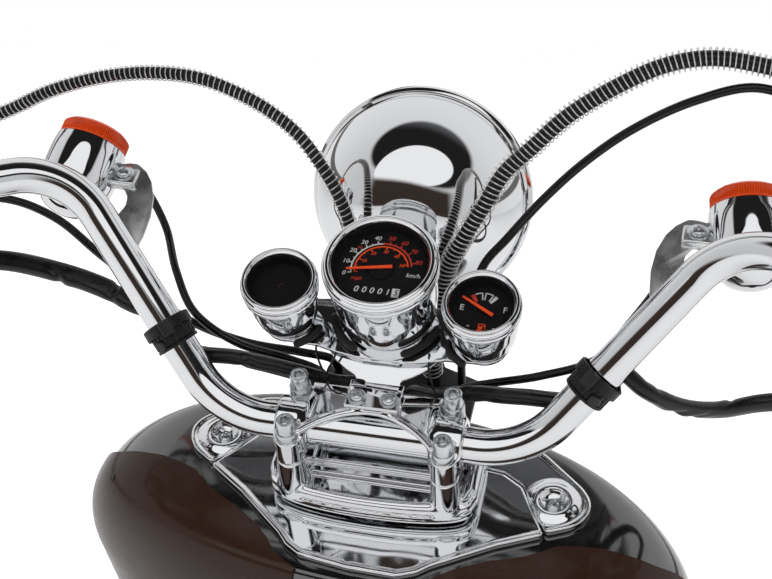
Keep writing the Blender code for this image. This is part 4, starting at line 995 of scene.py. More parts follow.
    def fuel_print(self):
        """E and F, an arc of marks from the red block to the white one, a pump sign and the pointer."""
        matrix = gauge_matrix(POD_PLACE)
        outer, inner, thin = 0.0138, 0.0082, 0.0008
        block = (outer + inner) / 2
        white = [self.words("E", 0.0064, (-0.0140, 0.0006), 0.0),
            self.words("F", 0.0064, (0.0152, 0.0018), 0.0), self.band(outer, thin, 118, 98, 8),
            self.band(outer, thin, 90, 66, 8), self.band(block, outer - inner + thin, 60, 49, 8)]
        for degrees in (98, 88, 66):
            white.append(self.stroke(self.polar(outer, degrees), self.polar(inner, degrees), thin))
        for x in (-0.0075, 0.0100):
            white.append(self.stroke((x - 0.0009, -0.0134), (x + 0.0009, -0.0134), 0.0006))
        red = [self.band(block, outer - inner + thin, 133, 120, 8)]
        x, y = 0.0012, -0.0132
        pump = [self.stroke((x + x0, y + y0), (x + x1, y + y1), width) for x0, y0, x1, y1, width in (
            (-0.0020, 0.0, 0.0012, 0.0, 0.0052), (-0.0028, -0.0029, 0.0020, -0.0029, 0.0008),
            (0.0012, 0.0008, 0.0028, 0.0008, 0.0006), (0.0028, 0.0022, 0.0028, -0.0020, 0.0006),
            (0.0014, 0.0026, 0.0030, 0.0018, 0.0006),
        )]
        self.ink("fuel_white_print", white, "print_white", matrix)
        self.ink("fuel_red_print", red, "print_red", matrix)
        self.ink("fuel_pump_sign", pump, "print_orange", matrix)
        window = [self.stroke((x - 0.0014, y + 0.0012), (x + 0.0006, y + 0.0012), 0.0014)]
        self.ink("fuel_pump_window", window, "dial", matrix, lift=0.0004)
        self.pointer("right_pod", matrix, 151.0, 0.0166, 0.0090)

    def lamp_print(self):
        """The left pod's unlit arrow sign."""
        matrix = gauge_matrix(flip(POD_PLACE, -1))
        tip, corner, notch = (-0.0024, 0.0012), (0.0, 0.0030), (0.0, 0.0020)
        lines = ((tip, corner), (tip, (0.0, -0.0006)), (corner, notch), (notch, (0.0022, 0.0020)))
        arrow = [self.stroke(start, end, 0.0005) for start, end in lines]
        self.ink("left_pod_sign", arrow, "unlit", matrix)


# Headlamp
LAMP_PLACE = Vector((0.0, 0.1928, 0.0530))
LAMP_RADIUS, LAMP_DEPTH = 0.0836, 0.082
LAMP_POST_Y, LAMP_POST_TOP, LAMP_POST_RADIUS = 0.128, -0.012, 0.011


class COCKPIT_OT_headlamp(bpy.types.Operator):
    """Deep chromed bowl with its rim, fluted glass, post and carrier"""

    bl_idname = "cockpit.headlamp"
    bl_label = "Headlamp"

    def execute(self, context):
        matrix = STEER @ at(LAMP_PLACE, lean((0, 1, 0)), X)
        body, width = LAMP_RADIUS - 0.004, 0.012
        t = np.linspace(0, math.pi / 2, 40)[1:-1]
        curve = np.stack([body * np.cos(t) ** 0.75, -LAMP_DEPTH * np.sin(t)], 1)
        mouth = [(body - 0.004, -width - FIT), (body, -width - FIT)]
        shell = np.concatenate([mouth, curve, [(0.0, -LAMP_DEPTH)]])
        build("headlamp_shell", revolve(shell, 160), "sheet_chrome", "headlamp_bowl", matrix, 50)
        post = fillet([(0.0, 0.044), (LAMP_POST_RADIUS, 0.044), (LAMP_POST_RADIUS, 0.0), (0.0, 0.0)],
            [0, 0.002, 0.001, 0])
        build("headlamp_post", revolve(post, 48), "cast_chrome",
            matrix=STEER @ shift(0, LAMP_POST_Y, LAMP_POST_TOP))
        inner = LAMP_RADIUS - 0.011
        rim = fillet([(inner, -0.003), (inner, 0.004), (LAMP_RADIUS - 0.003, 0.003), (LAMP_RADIUS, -0.003),
                (LAMP_RADIUS, -width + 0.002), (LAMP_RADIUS - 0.0024, -width), (body - 0.003, -width),
                (body - 0.003, -0.004)], [0.0004, 0.001, 0.003, 0.002, 0.001, 0.0006, 0.0002, 0.0002], 6)
        build("headlamp_rim_ring", revolve(rim, 128, ring=True), "sheet_chrome", "headlamp_rim", matrix)
        edge = inner - FIT
        r = np.linspace(0, 1, 34)[:, None]
        a = round_angles(120)[None, :]
        x, y = edge * r * np.cos(a), edge * r * np.sin(a)
        dome = 0.001 + 0.011 * (1 - r**2)
        flutes = 0.0005 * np.abs(np.cos(x / 0.006 * math.pi)) * (1 - r**6)
        front = np.stack([x, y, dome + 0 * a], 2)
        back = np.stack([x, y, dome - 0.003 + flutes], 2)
        glass = surface(np.concatenate([front, back[::-1]]), wrap_columns=True)
        build("headlamp_glass", glass, "lamp_glass", "headlamp_lens", matrix)
        dressed("headlamp_bracket", "paint", 0.0008)
        return {"FINISHED"}


# Turn signals
SIGNAL_PLACE = Vector((0.2365, 0.1410, 0.1132))
SIGNAL_AXIS = Vector((-0.137, 0.900, 0.394)).normalized()
SIGNAL_LENS, SIGNAL_BOWL, SIGNAL_DEPTH = 0.0253, 0.0275, 0.056
SIGNAL_SCREW = Vector((0.2083, 0.1213, 0.1071))
SIGNAL_SHEET_TILT = math.radians(17.5)


def pan_screw(radius, height=0.0032):
    """Pan head with a cross recess, standing on a washer: two shapes."""
    r, a = np.linspace(0, 1, 25)[:, None], round_angles(96)[None, :]
    x, y = radius * r * np.cos(a), radius * r * np.sin(a)
    dome = height * (1 - 0.55 * r**2 - 0.45 * r**10)
    arm = 0.16 * radius
    near = np.minimum(np.abs(x), np.abs(y))
    far = np.maximum(np.abs(x), np.abs(y))
    recess = np.clip((arm - near) / (0.5 * arm), 0, 1)
    recess = recess * np.clip((0.62 * radius - far) / (0.12 * radius), 0, 1)
    head = np.stack([x, y, dome - 0.0016 * recess + 0.0009], 2)
    wall = np.stack([x[-1:], y[-1:], np.full_like(x[-1:], -0.001)], 2)
    washer = turned([(0.0, 0.0010), (1.32 * radius, 0.0010), (1.32 * radius, -0.0006), (0.0, -0.0006)],
        [0, 0.0003, 0.0003, 0], 3, 64)
    return joined(surface(np.concatenate([head, wall, wall * (0, 0, 1)]), wrap_columns=True), washer)


class COCKPIT_OT_signals(bpy.types.Operator):
    """Chromed bowls, ribbed amber lenses, crescent sheets and screws of the turn signals"""

    bl_idname = "cockpit.signals"
    bl_label = "Turn signals"

    def execute(self, context):
        ribs = context.scene.cockpit_sizes.lens_ribs
        for word, side in SIDES.items():
            matrix = STEER @ at(flip(SIGNAL_PLACE, side), flip(SIGNAL_AXIS, side), X)
            self.bowl(word, matrix)
            self.lens(word, matrix, ribs)
            self.mount(word, side)
        return {"FINISHED"}

    def bowl(self, word, matrix):
        """Deep bowl with a rounded back and a thin lip under the lens."""
        mouth, wide, depth = SIGNAL_LENS, SIGNAL_BOWL, SIGNAL_DEPTH
        side = [(mouth + 0.0012, -0.0022, 0), (wide - 0.0003, -depth * 0.15, 0), (wide, -depth * 0.34, 0),
            (wide * 0.985, -depth * 0.55, 0), (wide * 0.90, -depth * 0.75, 0),
            (wide * 0.66, -depth * 0.91, 0), (wide * 0.33, -depth * 0.985, 0), (0.0, -depth, 0)]
        lip = fillet([(0.0, 0.0), (mouth - 0.0006, 0.0), (mouth + 0.0010, -0.0006)], [0, 0.0003, 0], 3,
            closed=False)
        profile = np.concatenate([lip, smooth(side, 0.0014)[:, :2]])
        build(f"{word}_signal_shell", revolve(profile, 96), "sheet_chrome", f"{word}_signal_bowl", matrix, 50)

    def lens(self, word, matrix, ribs):
        """Amber cap: ribbed band round its edge and a smooth, shallow crown."""
        edge, height = SIGNAL_LENS, 0.016
        band_top = 0.0098
        a = round_angles(ribs * 6)[None, :]
        rib = 0.5 + 0.5 * np.cos(ribs * a)
        foot = [(edge - 0.002, 0.0003), (edge, 0.0003), (edge, 0.0012)]
        wall = np.array([(edge, 0.0020), (edge, band_top * 0.5), (edge, band_top - 0.0008)])
        top = fillet([(edge, band_top), (edge - 0.0022, band_top + 0.0020), (edge * 0.6, height - 0.0012),
                (0.0, height)], [0.001, 0.001, 0.02, 0], 8, closed=False)
        profile = np.concatenate([[(0.0, 0.0003)], foot, wall, top])
        depth = np.concatenate([np.zeros(4), [1, 1, 1], np.zeros(len(top))])[:, None]
        radius = profile[:, :1] - 0.0011 * depth * (1 - rib)
        points = np.stack([radius * np.cos(a), radius * np.sin(a), profile[:, 1:] + 0 * a], 2)
        build(f"{word}_signal_cap", surface(points, wrap_columns=True), "amber", f"{word}_signal_lens",
            matrix, 60)

    def mount(self, word, side):
        """Crescent sheet forward from the bar, with the block, in the same thin chrome, that the screw holds
        at its end.
        """
        middle = flip(SIGNAL_SCREW, side) - Vector((0, 0, 0.003))
        crescent = fillet([(0.204, 0.0118), (0.198, 0.0118), (0.190, 0.006), (0.184, -0.002), (0.179, -0.015),
                (0.177, -0.031), (0.178, -0.047), (0.181, -0.060), (0.190, -0.066), (0.199, -0.056),
                (0.203, -0.047), (0.204, -0.040), (0.201, -0.031), (0.198, -0.024), (0.1985, -0.017),
                (0.203, -0.010), (0.218, -0.009), (0.218, 0.009)], 0.006, 4) * (side, 1)
        build(f"{word}_signal_sheet", slab(crescent, -0.0009, 0.0009, 0.0004), "sheet_satin",
            f"{word}_signal_bracket", STEER @ shift(0, middle.y, middle.z) @ spin(SIGNAL_SHEET_TILT, "X"))
        cube = block((0.0240, 0.019, 0.0080), 0.0014)
        neck = moved(block((0.016, 0.010, 0.008), 0.001), shift(side * 0.012, 0.004, 0.0005))
        build(f"{word}_signal_block", joined(cube, neck), "sheet_satin",
            matrix=STEER @ Matrix.Translation(middle + Vector((-side * 0.0015, 0.0002, -0.0010))))
        build(f"{word}_signal_screw_head", pan_screw(0.0056), "zinc",
            matrix=STEER @ at(middle + Vector((-side * 0.0030, 0.0, 0.0032)), Z, X))


# Clamp and yoke
BOLT_X, BOLT_Y = 0.0546, 0.0194
BOLT_RADIUS, BOLT_SOCKET = 0.0065, 0.0030
BOLT_TOPS = ((-1, 0.0075, 0.0258), (1, 0.0040, 0.0300))  # rear and front: side, boss top, screw top
COLUMN_RADIUS = 0.0095
CAP_SPLIT, CAP_RADIUS, CAP_HALF = -0.013, 0.0190, 0.0112
YOKE_HALF, YOKE_FRONT, YOKE_REAR = 0.075, 0.044, -0.032
YOKE_TOP, YOKE_FLOOR, YOKE_THICK = -0.040, -0.047, 0.014
BRIDGE_TOP, BRIDGE_THICK, BRIDGE_FRONT = 0.016, 0.006, 0.026
ARCH_MIDDLE, ARCH_RISE, ARCH_HALF = 0.0056, 0.025, 0.0466
TAB_X, TAB_Y, TAB_TOP, SHEET = 0.0113, 0.0108, 0.0235, 0.003
HEAD_TOP, HEAD_BOTTOM = -0.095, -0.200


def yoke_outline(inset):
    """D-shaped plan of the yoke with a gently arched rear edge."""
    half, corner = YOKE_HALF - inset, 0.012
    front, rear = YOKE_FRONT - inset, YOKE_REAR + inset
    t = np.linspace(0, 1, 24)
    rear_arc = np.stack([half * 0.97 * np.sin(math.pi / 2 * t), rear + 0.016 * t**2], 1)[::-1]
    corners = [(0.0, front), (half, front), (half, rear + 0.022), rear_arc[0]]
    right = fillet(corners, [0, corner, 0.004, 0], 6, closed=False)
    return mirrored(np.concatenate([right[1:-1], rear_arc]))


def yoke_field(p):
    """Rimmed plate, risers and columns under the bar, stepped web between them."""
    rim = yoke_outline(0.0032)
    base = carve(
        prism(p, yoke_outline(0.0), YOKE_TOP - YOKE_THICK, YOKE_TOP, 0.0022),
        prism(p, yoke_outline(0.0066), YOKE_FLOOR, 0.02, 0.001), 0.002,
    )
    base = melt(base, bead(p, rim, YOKE_TOP - 0.0006, 0.0031), 0.001)
    base = melt(base, bead(p, yoke_outline(0.0022), YOKE_TOP - YOKE_THICK + 0.0002, 0.0030), 0.001)
    groove = np.maximum(np.abs(p[:, 2] - YOKE_TOP + 0.0076) - 0.0014,
        -0.0016 - edge_distance(p, yoke_outline(0.0)))
    base = carve(base, groove, 0.0014)
    height = CAP_SPLIT - YOKE_FLOOR
    middle = YOKE_FLOOR + height / 2
    solid = base
    for side in (-1, 1):
        riser = ball_box(p, (side * BOLT_X, 0, middle), (0.009, BOLT_Y, height / 2), 0.0015)
        solid = melt(solid, riser, 0.003)
        for row in (-1, 1):
            column = post(p, (side * BOLT_X, row * BOLT_Y), YOKE_FLOOR - 0.002, CAP_SPLIT,
                COLUMN_RADIUS + 0.0012, COLUMN_RADIUS, 0.0006)
            solid = melt(solid, column, 0.003)
    wide = BOLT_X - 0.008
    for y, z, deep, tall, rounding, joint in (
        (BOLT_Y + 0.002, -0.0335, 0.004, 0.0155, 0.0010, 0.0015),
        (0.010, -0.0435, 0.009, 0.0045, 0.0012, 0.0015),
        (-0.003, -0.0465, 0.0035, 0.0035, 0.0010, 0.0012),
    ):
        solid = melt(solid, ball_box(p, (0, y, z), (wide, deep, tall), rounding), joint)
    return carve(solid, along_x(p, 0, 0) - BORE, 0.001)


def arch_line(count=28):
    """Rear edge of the bridge: a parabola between the risers."""
    t = np.linspace(1, -1, count + 1)
    return np.stack([ARCH_HALF * t, ARCH_MIDDLE - ARCH_RISE * t**2], 1)


def clamp_field(p):
    """Two caps with bosses, bridged by a plate with an arched, beaded edge, and two posts for the tab."""
    plan = np.concatenate([[(-ARCH_HALF, BRIDGE_FRONT), (ARCH_HALF, BRIDGE_FRONT)], arch_line()])
    solid = prism(p, plan, BRIDGE_TOP - BRIDGE_THICK, BRIDGE_TOP, 0.0014)
    solid = melt(solid, bead(p, arch_line(), BRIDGE_TOP - 0.0008, 0.0024), 0.0012)
    rounding = 0.0018
    for side in (-1, 1):
        q = np.stack([
            along_x(p, 0, 0) - CAP_RADIUS + rounding, np.abs(p[:, 0] - side * BOLT_X) - CAP_HALF + rounding,
            -p[:, 2] + CAP_SPLIT + 0.0004 + rounding,
        ], 1)
        cap = rimmed(q) - rounding
        for row, top, _ in BOLT_TOPS:
            boss = post(p, (side * BOLT_X, row * BOLT_Y), CAP_SPLIT + 0.0004, top, COLUMN_RADIUS,
                COLUMN_RADIUS - 0.0006, 0.0010)
            cap = melt(cap, boss, 0.005)
        solid = melt(solid, cap, 0.005)
        stand = post(p, (side * TAB_X, TAB_Y), 0.012, TAB_TOP - SHEET - FIT, 0.0078, 0.0066, 0.0006)
        solid = melt(solid, stand, 0.002)
    return carve(solid, along_x(p, 0, 0) - BORE, 0.001)


def socket_bolt(top, seat, radius=BOLT_RADIUS):
    """Socket head screw: sleeve, head, chamfers and a hexagonal hole, r(a) = apothem / cos(a mod 60 - 30)."""
    a = round_angles(96)
    hexagon = BOLT_SOCKET / np.cos(np.mod(a, math.pi / 3) - math.pi / 6)
    neck = top - 0.0105
    rows = [(0.0, seat), (radius + 0.0012, seat), (radius + 0.0014, seat + 0.0006),
        (radius + 0.0014, neck - 0.0016), (radius + 0.0010, neck - 0.0008), (radius + 0.0002, neck - 0.0006),
        (radius + 0.0002, neck), (radius, neck + 0.0008), (radius, top - 0.0016),
        (radius - 0.0004, top - 0.0007), (radius - 0.0012, top), (BOLT_SOCKET + 0.0014, top),
        (BOLT_SOCKET + 0.0011, top - 0.0003), (hexagon + 0.0003, top), (hexagon, top - 0.0004),
        (hexagon, top - 0.0055), (hexagon * 0, top - 0.0055)]
    points = [np.stack([r * np.cos(a), r * np.sin(a), np.full_like(a, h)], 1) for r, h in rows]
    return surface(points, wrap_columns=True)


class COCKPIT_OT_clamp(bpy.types.Operator):
    """Yoke with its stem, one-piece top clamp, socket screws and the gauges' bracket"""

    bl_idname = "cockpit.clamp"
    bl_label = "Clamp and yoke"

    def execute(self, context):
        yoke = cast(yoke_field, (-0.078, -0.036, -0.0585), (0.078, 0.048, -0.010), 0.0010)
        build("yoke_casting", yoke, "cast_chrome", "yoke", sharp=60)
        clamp = cast(clamp_field, (-0.070, -0.032, -0.0145), (0.070, 0.032, 0.0225), 0.00085)
        build("clamp_casting", clamp, "cast_chrome", "top_clamp", sharp=60)
        stem = fillet([(0.0, YOKE_TOP - YOKE_THICK + 0.001), (0.024, YOKE_TOP - YOKE_THICK + 0.001),
                (0.020, -0.060), (0.013, -0.066), (0.013, HEAD_TOP + 0.018), (0.019, HEAD_TOP + 0.018),
                (0.019, HEAD_TOP + FIT), (0.013, HEAD_TOP + FIT), (0.013, HEAD_BOTTOM - FIT),
                (0.022, HEAD_BOTTOM - FIT), (0.024, HEAD_BOTTOM - 0.0083), (0.030, HEAD_BOTTOM - 0.0083),
                (0.030, HEAD_BOTTOM - 0.0203), (0.0, HEAD_BOTTOM - 0.0203)],
            [0, 0.002, 0.004, 0.004, 0.0005, 0.001, 0.001, 0.0005, 0.0005, 0.001, 0.0005, 0.001, 0.001, 0], 4)
        build("steering_stem", revolve(stem, 64), "zinc")
        bolts = []
        for side in (-1, 1):
            for row, seat, top in BOLT_TOPS:
                place = shift(side * BOLT_X, row * BOLT_Y, 0) @ spin(0.4 * side + row, "Z")
                bolts.append(moved(socket_bolt(top, seat - 0.001), place))
        build("clamp_bolts", joined(*bolts), "zinc")
        self.bracket()
        screws = [moved(pan_screw(0.0050), shift(side * TAB_X, TAB_Y, TAB_TOP) @ spin(side, "Z"))
            for side in (-1, 1)]
        build("bracket_screws", joined(*screws), "zinc")
        return {"FINISHED"}

    def bracket(self):
        """Sheet under the gauges with its lip and apron, the rubber arms that hug the cans, and the wires."""
        level = -SPEEDO_DEPTH - FIT - SHEET / 2
        lean_back = Matrix.Rotation(GAUGE_LEAN, 3, "X")
        drop = (lean_back.transposed() @ (POD_PLACE - SPEEDO_PLACE)).y
        wing = POD_PLACE.x
        right = np.concatenate([
            arc((0, 0), 0.026, 90, 25, 10), arc((wing, drop), 0.018, 100, -100, 20),
            [(wing * 0.66, -0.031), (wing * 0.43, -0.035), (wing * 0.24, -0.037)],
        ])
        gauges = Matrix.Translation(SPEEDO_PLACE) @ lean_back.to_4x4()
        wings = moved(slab(mirrored(right), level - SHEET / 2, level + SHEET / 2, 0.0006), gauges)
        lip = moved(block((0.029, 0.0026, 0.0056), 0.0010), gauges @ shift(0, -0.0358, level - 0.0016))
        low = Vector((0.0, TAB_Y + 0.0145, TAB_TOP - SHEET / 2))
        span = SPEEDO_PLACE + lean_back @ Vector((0.0, 0.004, level)) - low
        slope = Matrix.Translation(low) @ spin(math.atan2(span.z, span.y), "X")
        sides = fillet([(0.016, -0.0004), (0.016, 0.004), (0.024, 0.008), (0.033, 0.014), (0.040, 0.022),
                (0.044, 0.030), (0.044, span.length)], [0, 0.006, 0.01, 0.02, 0.02, 0.02, 0], 6, closed=False)
        outline = np.concatenate([sides * (-1, 1), sides[::-1]])
        apron = moved(slab(outline, -SHEET / 2, SHEET / 2, 0.0006), slope)
        tab = block((0.038, 0.0225 + SHEET / 2, SHEET), 0.0008, 4)
        tab = moved(tab, shift(0, TAB_Y + 0.00325, TAB_TOP - SHEET / 2))
        build("bracket_sheet", joined(wings, lip, apron, tab), "sheet_chrome", "gauge_bracket")
        arms = []
        taper = np.minimum(1, 0.45 + np.minimum(np.arange(29), np.arange(29)[::-1]) / 3)
        for side in (-1, 1):
            for middle, radius, height, first, last in (
                ((0.0, 0.0), 0.0381, level + 0.0075, -66, -12),
                ((wing, drop), 0.0254, level + 0.0060, -168, -112),
            ):
                line = np.column_stack([arc(middle, radius, first, last, 28), np.full(29, height)])
                arms.append(moved(sweep(line * (side, 1, 1), 0.0028 * taper, 20), gauges))
        build("gauge_rubber_arms", joined(*arms), "rubber")
        wires = []
        for line in (
            [(-0.046, -0.022, 0.003), (-0.046, -0.034, -0.002), (-0.040, -0.044, -0.012),
                (-0.036, -0.046, -0.026)],
            [(-0.031, -0.026, 0.003), (-0.032, -0.037, -0.002), (-0.037, -0.044, -0.012),
                (-0.037, -0.046, -0.026)],
            [(0.034, -0.028, 0.003), (0.035, -0.038, -0.003), (0.039, -0.046, -0.014),
                (0.041, -0.048, -0.026)],
        ):
            line = smooth(np.array(line) + (0, 0, level), 0.002)
            wires.append(moved(sweep(line, 0.0008, 8), gauges))
        build("gauge_wires", joined(*wires), "cable")


# Collar and leg shield
COLLAR_TOP, COLLAR_THICK, SEAM = -0.060, 0.0055, 0.0012
WELL_X, WELL_Y = 0.1254, 0.0189
SHIELD_TOP = COLLAR_TOP - COLLAR_THICK - FIT
SHIELD_FLAT_HALF, SHIELD_FLAT_FRONT, SHIELD_FLAT_REAR = 0.158, 0.080, 0.078
SHIELD_WALL, PANEL_FACE, PANEL_BACK = 0.004, 0.0034, 0.0009
SHIELD_HALF, SHIELD_SHOULDER, SHIELD_SWELL, SHIELD_BOTTOM, SHIELD_TAPER = 0.234, 0.080, 0.016, -0.262, 0.015
FRONT_COLLAR = [(0.0, 0.074), (0.060, 0.073), (0.109, 0.062), (0.143, 0.037), (0.150, 0.029), (0.1525, 0.020),
    (0.150, 0.010), (0.143, 0.001), (0.126, -0.009 + SEAM / 2), (0.101, 0.028 + SEAM / 2),
    (0.086, 0.036 + SEAM / 2), (0.0, 0.040 + SEAM / 2)]
REAR_COLLAR = [(0.0, 0.040 - SEAM / 2), (0.086, 0.036 - SEAM / 2), (0.101, 0.028 - SEAM / 2),
    (0.126 - SEAM / 2, -0.0105), (0.095, -0.028), (0.056, -0.056), (0.048, -0.064), (0.036, -0.070),
    (0.0, -0.072)]
COLLAR_EDGE = FRONT_COLLAR[:8] + REAR_COLLAR[3:]  # the edge of both mouldings together


def rounded_plan(half):
    """Closed outline from its right half, its corners eased: much on the wings, little at the seam."""
    radii = [0.030 if x > 0.127 or y > 0.045 else 0.0035 if y > -0.012 else 0.012 for x, y in half[1:-1]]
    return mirrored(fillet(half, [0, *radii, 0], 6, closed=False))


def collar_field(outline):
    """Field of one collar moulding: rounded plate with a raised rim, and wells in bosses on its wings."""
    plan, whole = rounded_plan(outline), rounded_plan(COLLAR_EDGE)
    wells = outline is FRONT_COLLAR
    rounding = 0.0014

    def field(p):
        flat = edge_distance(p, plan)
        deep = np.abs(p[:, 2] - COLLAR_TOP + COLLAR_THICK / 2) - COLLAR_THICK / 2
        solid = rimmed(np.stack([flat + rounding, deep + rounding], 1)) - rounding
        tray = np.maximum(edge_distance(p, whole) + 0.0040, COLLAR_TOP - 0.0010 - p[:, 2])
        solid = carve(solid, tray, 0.0012)
        if wells:
            for side in (-1, 1):
                boss = post(p, (side * WELL_X, WELL_Y), COLLAR_TOP - 0.004, COLLAR_TOP + 0.0022, 0.0185,
                    0.0142, 0.0012)
                solid = melt(solid, boss, 0.006)
                ball = np.linalg.norm(p - (side * WELL_X, WELL_Y, COLLAR_TOP + 0.0078), axis=1) - 0.0122
                solid = carve(solid, ball, 0.0012)
        else:
            solid = carve(solid, np.hypot(p[:, 0], p[:, 1]) - 0.030, 0.001)
        return solid

    return field


def shield_skin(level, angle):
    """Leg shield's skin: |x / half|^n + |y / depth|^n = 1 at each height, its shoulder a quarter ellipse."""
    top, low = np.clip(level / 0.25, 0, 1), np.clip((level - 0.65) / 0.35, 0, 1)
    turn = math.pi / 2 * np.clip((level - 0.25) / 0.40, 0, 1)
    spread = np.sin(turn)
    swell = (SHIELD_HALF - SHIELD_FLAT_HALF) * spread
    half = 0.060 + (SHIELD_FLAT_HALF - 0.060) * top + swell - SHIELD_TAPER * low
    front = 0.034 + (SHIELD_FLAT_FRONT - 0.034) * top + SHIELD_SWELL * spread
    rear = 0.034 + (SHIELD_FLAT_REAR - 0.034) * top + SHIELD_SWELL * spread
    wall = SHIELD_TOP - SHIELD_SHOULDER - SHIELD_BOTTOM
    height = SHIELD_TOP - SHIELD_SHOULDER * (1 - np.cos(turn)) - wall * low
    square = 2.6 - 0.5 * spread
    c, s = np.cos(angle), np.sin(angle)
    x = half * np.sign(c) * np.abs(c) ** (2 / square)
    y = np.where(s > 0, front, rear) * np.sign(s) * np.abs(s) ** (2 / square)
    return np.stack([x, y, height], 2)


def shield_points(level, angle, out=0.0):
    """Points of the leg shield's skin, moved out square to it; level is 0 at its hole and 1 at its foot."""
    points = shield_skin(level, angle)
    if out:
        step = 0.02
        down = shield_skin(level + step, angle) - shield_skin(level - step, angle)
        along = shield_skin(level, angle + step) - shield_skin(level, angle - step)
        normal = np.cross(down, along)
        points = points + out * normal / np.linalg.norm(normal, axis=2)[:, :, None]
    return points


class COCKPIT_OT_collar(bpy.types.Operator):
    """Chromed collar in two mouldings with a seam, and its screws in their wells"""

    bl_idname = "cockpit.collar"
    bl_label = "Collar"

    def execute(self, context):
        for name, outline, low, high in (
            ("front_collar", FRONT_COLLAR, (-0.156, -0.014, -0.067), (0.156, 0.077, -0.056)),
            ("rear_collar", REAR_COLLAR, (-0.130, -0.075, -0.067), (0.130, 0.042, -0.058)),
        ):
            moulding = cast(collar_field(outline), low, high, 0.00112)
            build(f"{name}_moulding", moulding, "cast_chrome", name, BODY, 60, body=FRAME)
        seats = [shift(side * WELL_X, WELL_Y, COLLAR_TOP - 0.0046) @ spin(0.6 * side, "Z")
            for side in (-1, 1)]
        screws = [moved(pan_screw(0.0055), seat) for seat in seats]
        build("collar_screws", joined(*screws), "zinc", matrix=BODY, body=FRAME)
        return {"FINISHED"}


class COCKPIT_OT_shield(bpy.types.Operator):
    """Top of the leg shield with its knee panels, and the steering head inside it"""

    bl_idname = "cockpit.shield"
    bl_label = "Leg shield"

    def execute(self, context):
        levels = np.concatenate([
            np.linspace(0, 0.25, 9), np.linspace(0.25, 0.65, 24)[1:], np.linspace(0.65, 1, 14)[1:]])
        level, angle = np.meshgrid(levels, round_angles(168), indexing="ij")
        outer, inner = shield_points(level, angle), shield_points(level, angle, -SHIELD_WALL)
        moulding = surface(np.concatenate([outer, inner[::-1]]), wrap_rows=True, wrap_columns=True)
        build("leg_shield_moulding", moulding, "gloss", "leg_shield", BODY, body=FRAME)
        for word, side in SIDES.items():
            self.knee_panel(word, side)
            self.plug(word, side)
        dressed("steering_head", "paint", 0.0006)
        return {"FINISHED"}

    def knee_panel(self, word, side):
        """Thin moulding on the shield's rear face, from the collar's edge down, curved at its outer side."""
        rows, columns = 48, 52
        edge_levels = (0.15, 0.20, 0.232, 0.267, 0.313, 0.402, 0.50)
        edge_angles = (197.0, 188.2, 185.4, 184.1, 183.7, 181.8, 177.5)
        inner_angle, lowest = 262.0, 0.96
        tries, ways = np.linspace(0.05, 0.60, 220), np.radians(np.linspace(188, inner_angle, columns))
        trial, way = np.meshgrid(tries, ways, indexing="ij")
        spots = shield_skin(trial, way).reshape(-1, 3)
        free = edge_distance(spots, rounded_plan(COLLAR_EDGE)).reshape(trial.shape) > 0.0085
        highest = trial[:, 0][free.argmax(0)]
        falls, steps = np.linspace(0, 1, rows) ** 1.3, np.linspace(0, 1, columns)
        fall, across = np.meshgrid(falls, steps, indexing="ij")
        level = highest + (lowest - highest) * fall
        first = np.interp(level, edge_levels, edge_angles)
        angle = np.radians(first + (inner_angle - first) * across)
        front, back = (shield_points(level, angle, out) * (-side, 1, 1) for out in (PANEL_FACE, PANEL_BACK))
        points, faces = surface(np.concatenate([front, back[::-1]]), wrap_rows=True)
        k = np.arange(rows - 1)
        for c in (0, columns - 1):
            around = np.stack([k, k + 1, 2 * rows - 2 - k, 2 * rows - 1 - k], 1) * columns + c
            faces += around.tolist()
        build(f"{word}_knee_panel_moulding", (points, faces), "gloss_brown", f"{word}_knee_panel", BODY,
            body=FRAME)

    def plug(self, word, side):
        """Small round plug in a knee panel's face, square to it."""

        def face(level, degrees):
            point = shield_points(np.array([[level]]), np.radians([[degrees]]), PANEL_FACE)[0, 0]
            return Vector(point * (-side, 1, 1))

        button = turned([(0.0, 0.0003), (0.0016, 0.0003), (0.0022, 0.0008), (0.0030, 0.0002),
                (0.0030, -0.001), (0.0, -0.001)], [0, 0.0002, 0.0005, 0.0003, 0, 0], 3, 32)
        spot = face(0.42, 194.8)
        way = (face(0.43, 194.8) - spot).cross(face(0.42, 195.8) - spot)
        way = way if way.y < 0 else -way
        build(f"{word}_panel_plug", moved(button, at(spot, way)), "abs", matrix=BODY, body=FRAME)


# Hoses, cables and sleeves, their routes repeated from the part's source
GUIDE_TOP = -0.0425
SLEEVE_RADIUS, STRAP_AT, STRAP_OFFSET = 0.0065, 0.030, 0.0215
STRAP_SIDE = Vector((0.35, 0.80, -0.45))
GRIP_LENGTH, HOUSING, HOLDER, LEVER_GAP = 0.118, 0.036, 0.024, 0.050
HOUSING_RADIUS, HOLDER_RADIUS = 0.0220, 0.0180


def bar_end(side):
    """Axis, forward and upward at one end of the bar, and the end itself."""
    axis = flip(REACH, side)
    level = lean((0.0, 1.0, -0.25))
    forward = (level - level.dot(axis) * axis).normalized()
    return axis, forward, side * axis.cross(forward), flip(BAR_HIGH + REACH * BAR_REACH, side)


def cord_start(side, what):
    """First two points of a cord that leaves its seat on the controls straight."""
    axis, forward, upward, end = bar_end(side)
    housing = end - axis * (GRIP_LENGTH + 0.003 + HOUSING / 2)
    holder = end - axis * (GRIP_LENGTH + 0.006 + HOUSING + HOLDER / 2)
    start, away = {
        "hose": (holder - axis * 0.004 + forward * (LEVER_GAP + FIT), forward),
        "cable": (holder - upward * (BAR_RADIUS + 0.006), -upward),
        "throttle": (housing + forward * 0.010 - upward * (BAR_RADIUS + 0.0086), -upward),
        "sleeve": (housing - forward * 0.014 - upward * 0.0295, -upward),
    }[what]
    return [start, start + away * 0.016]


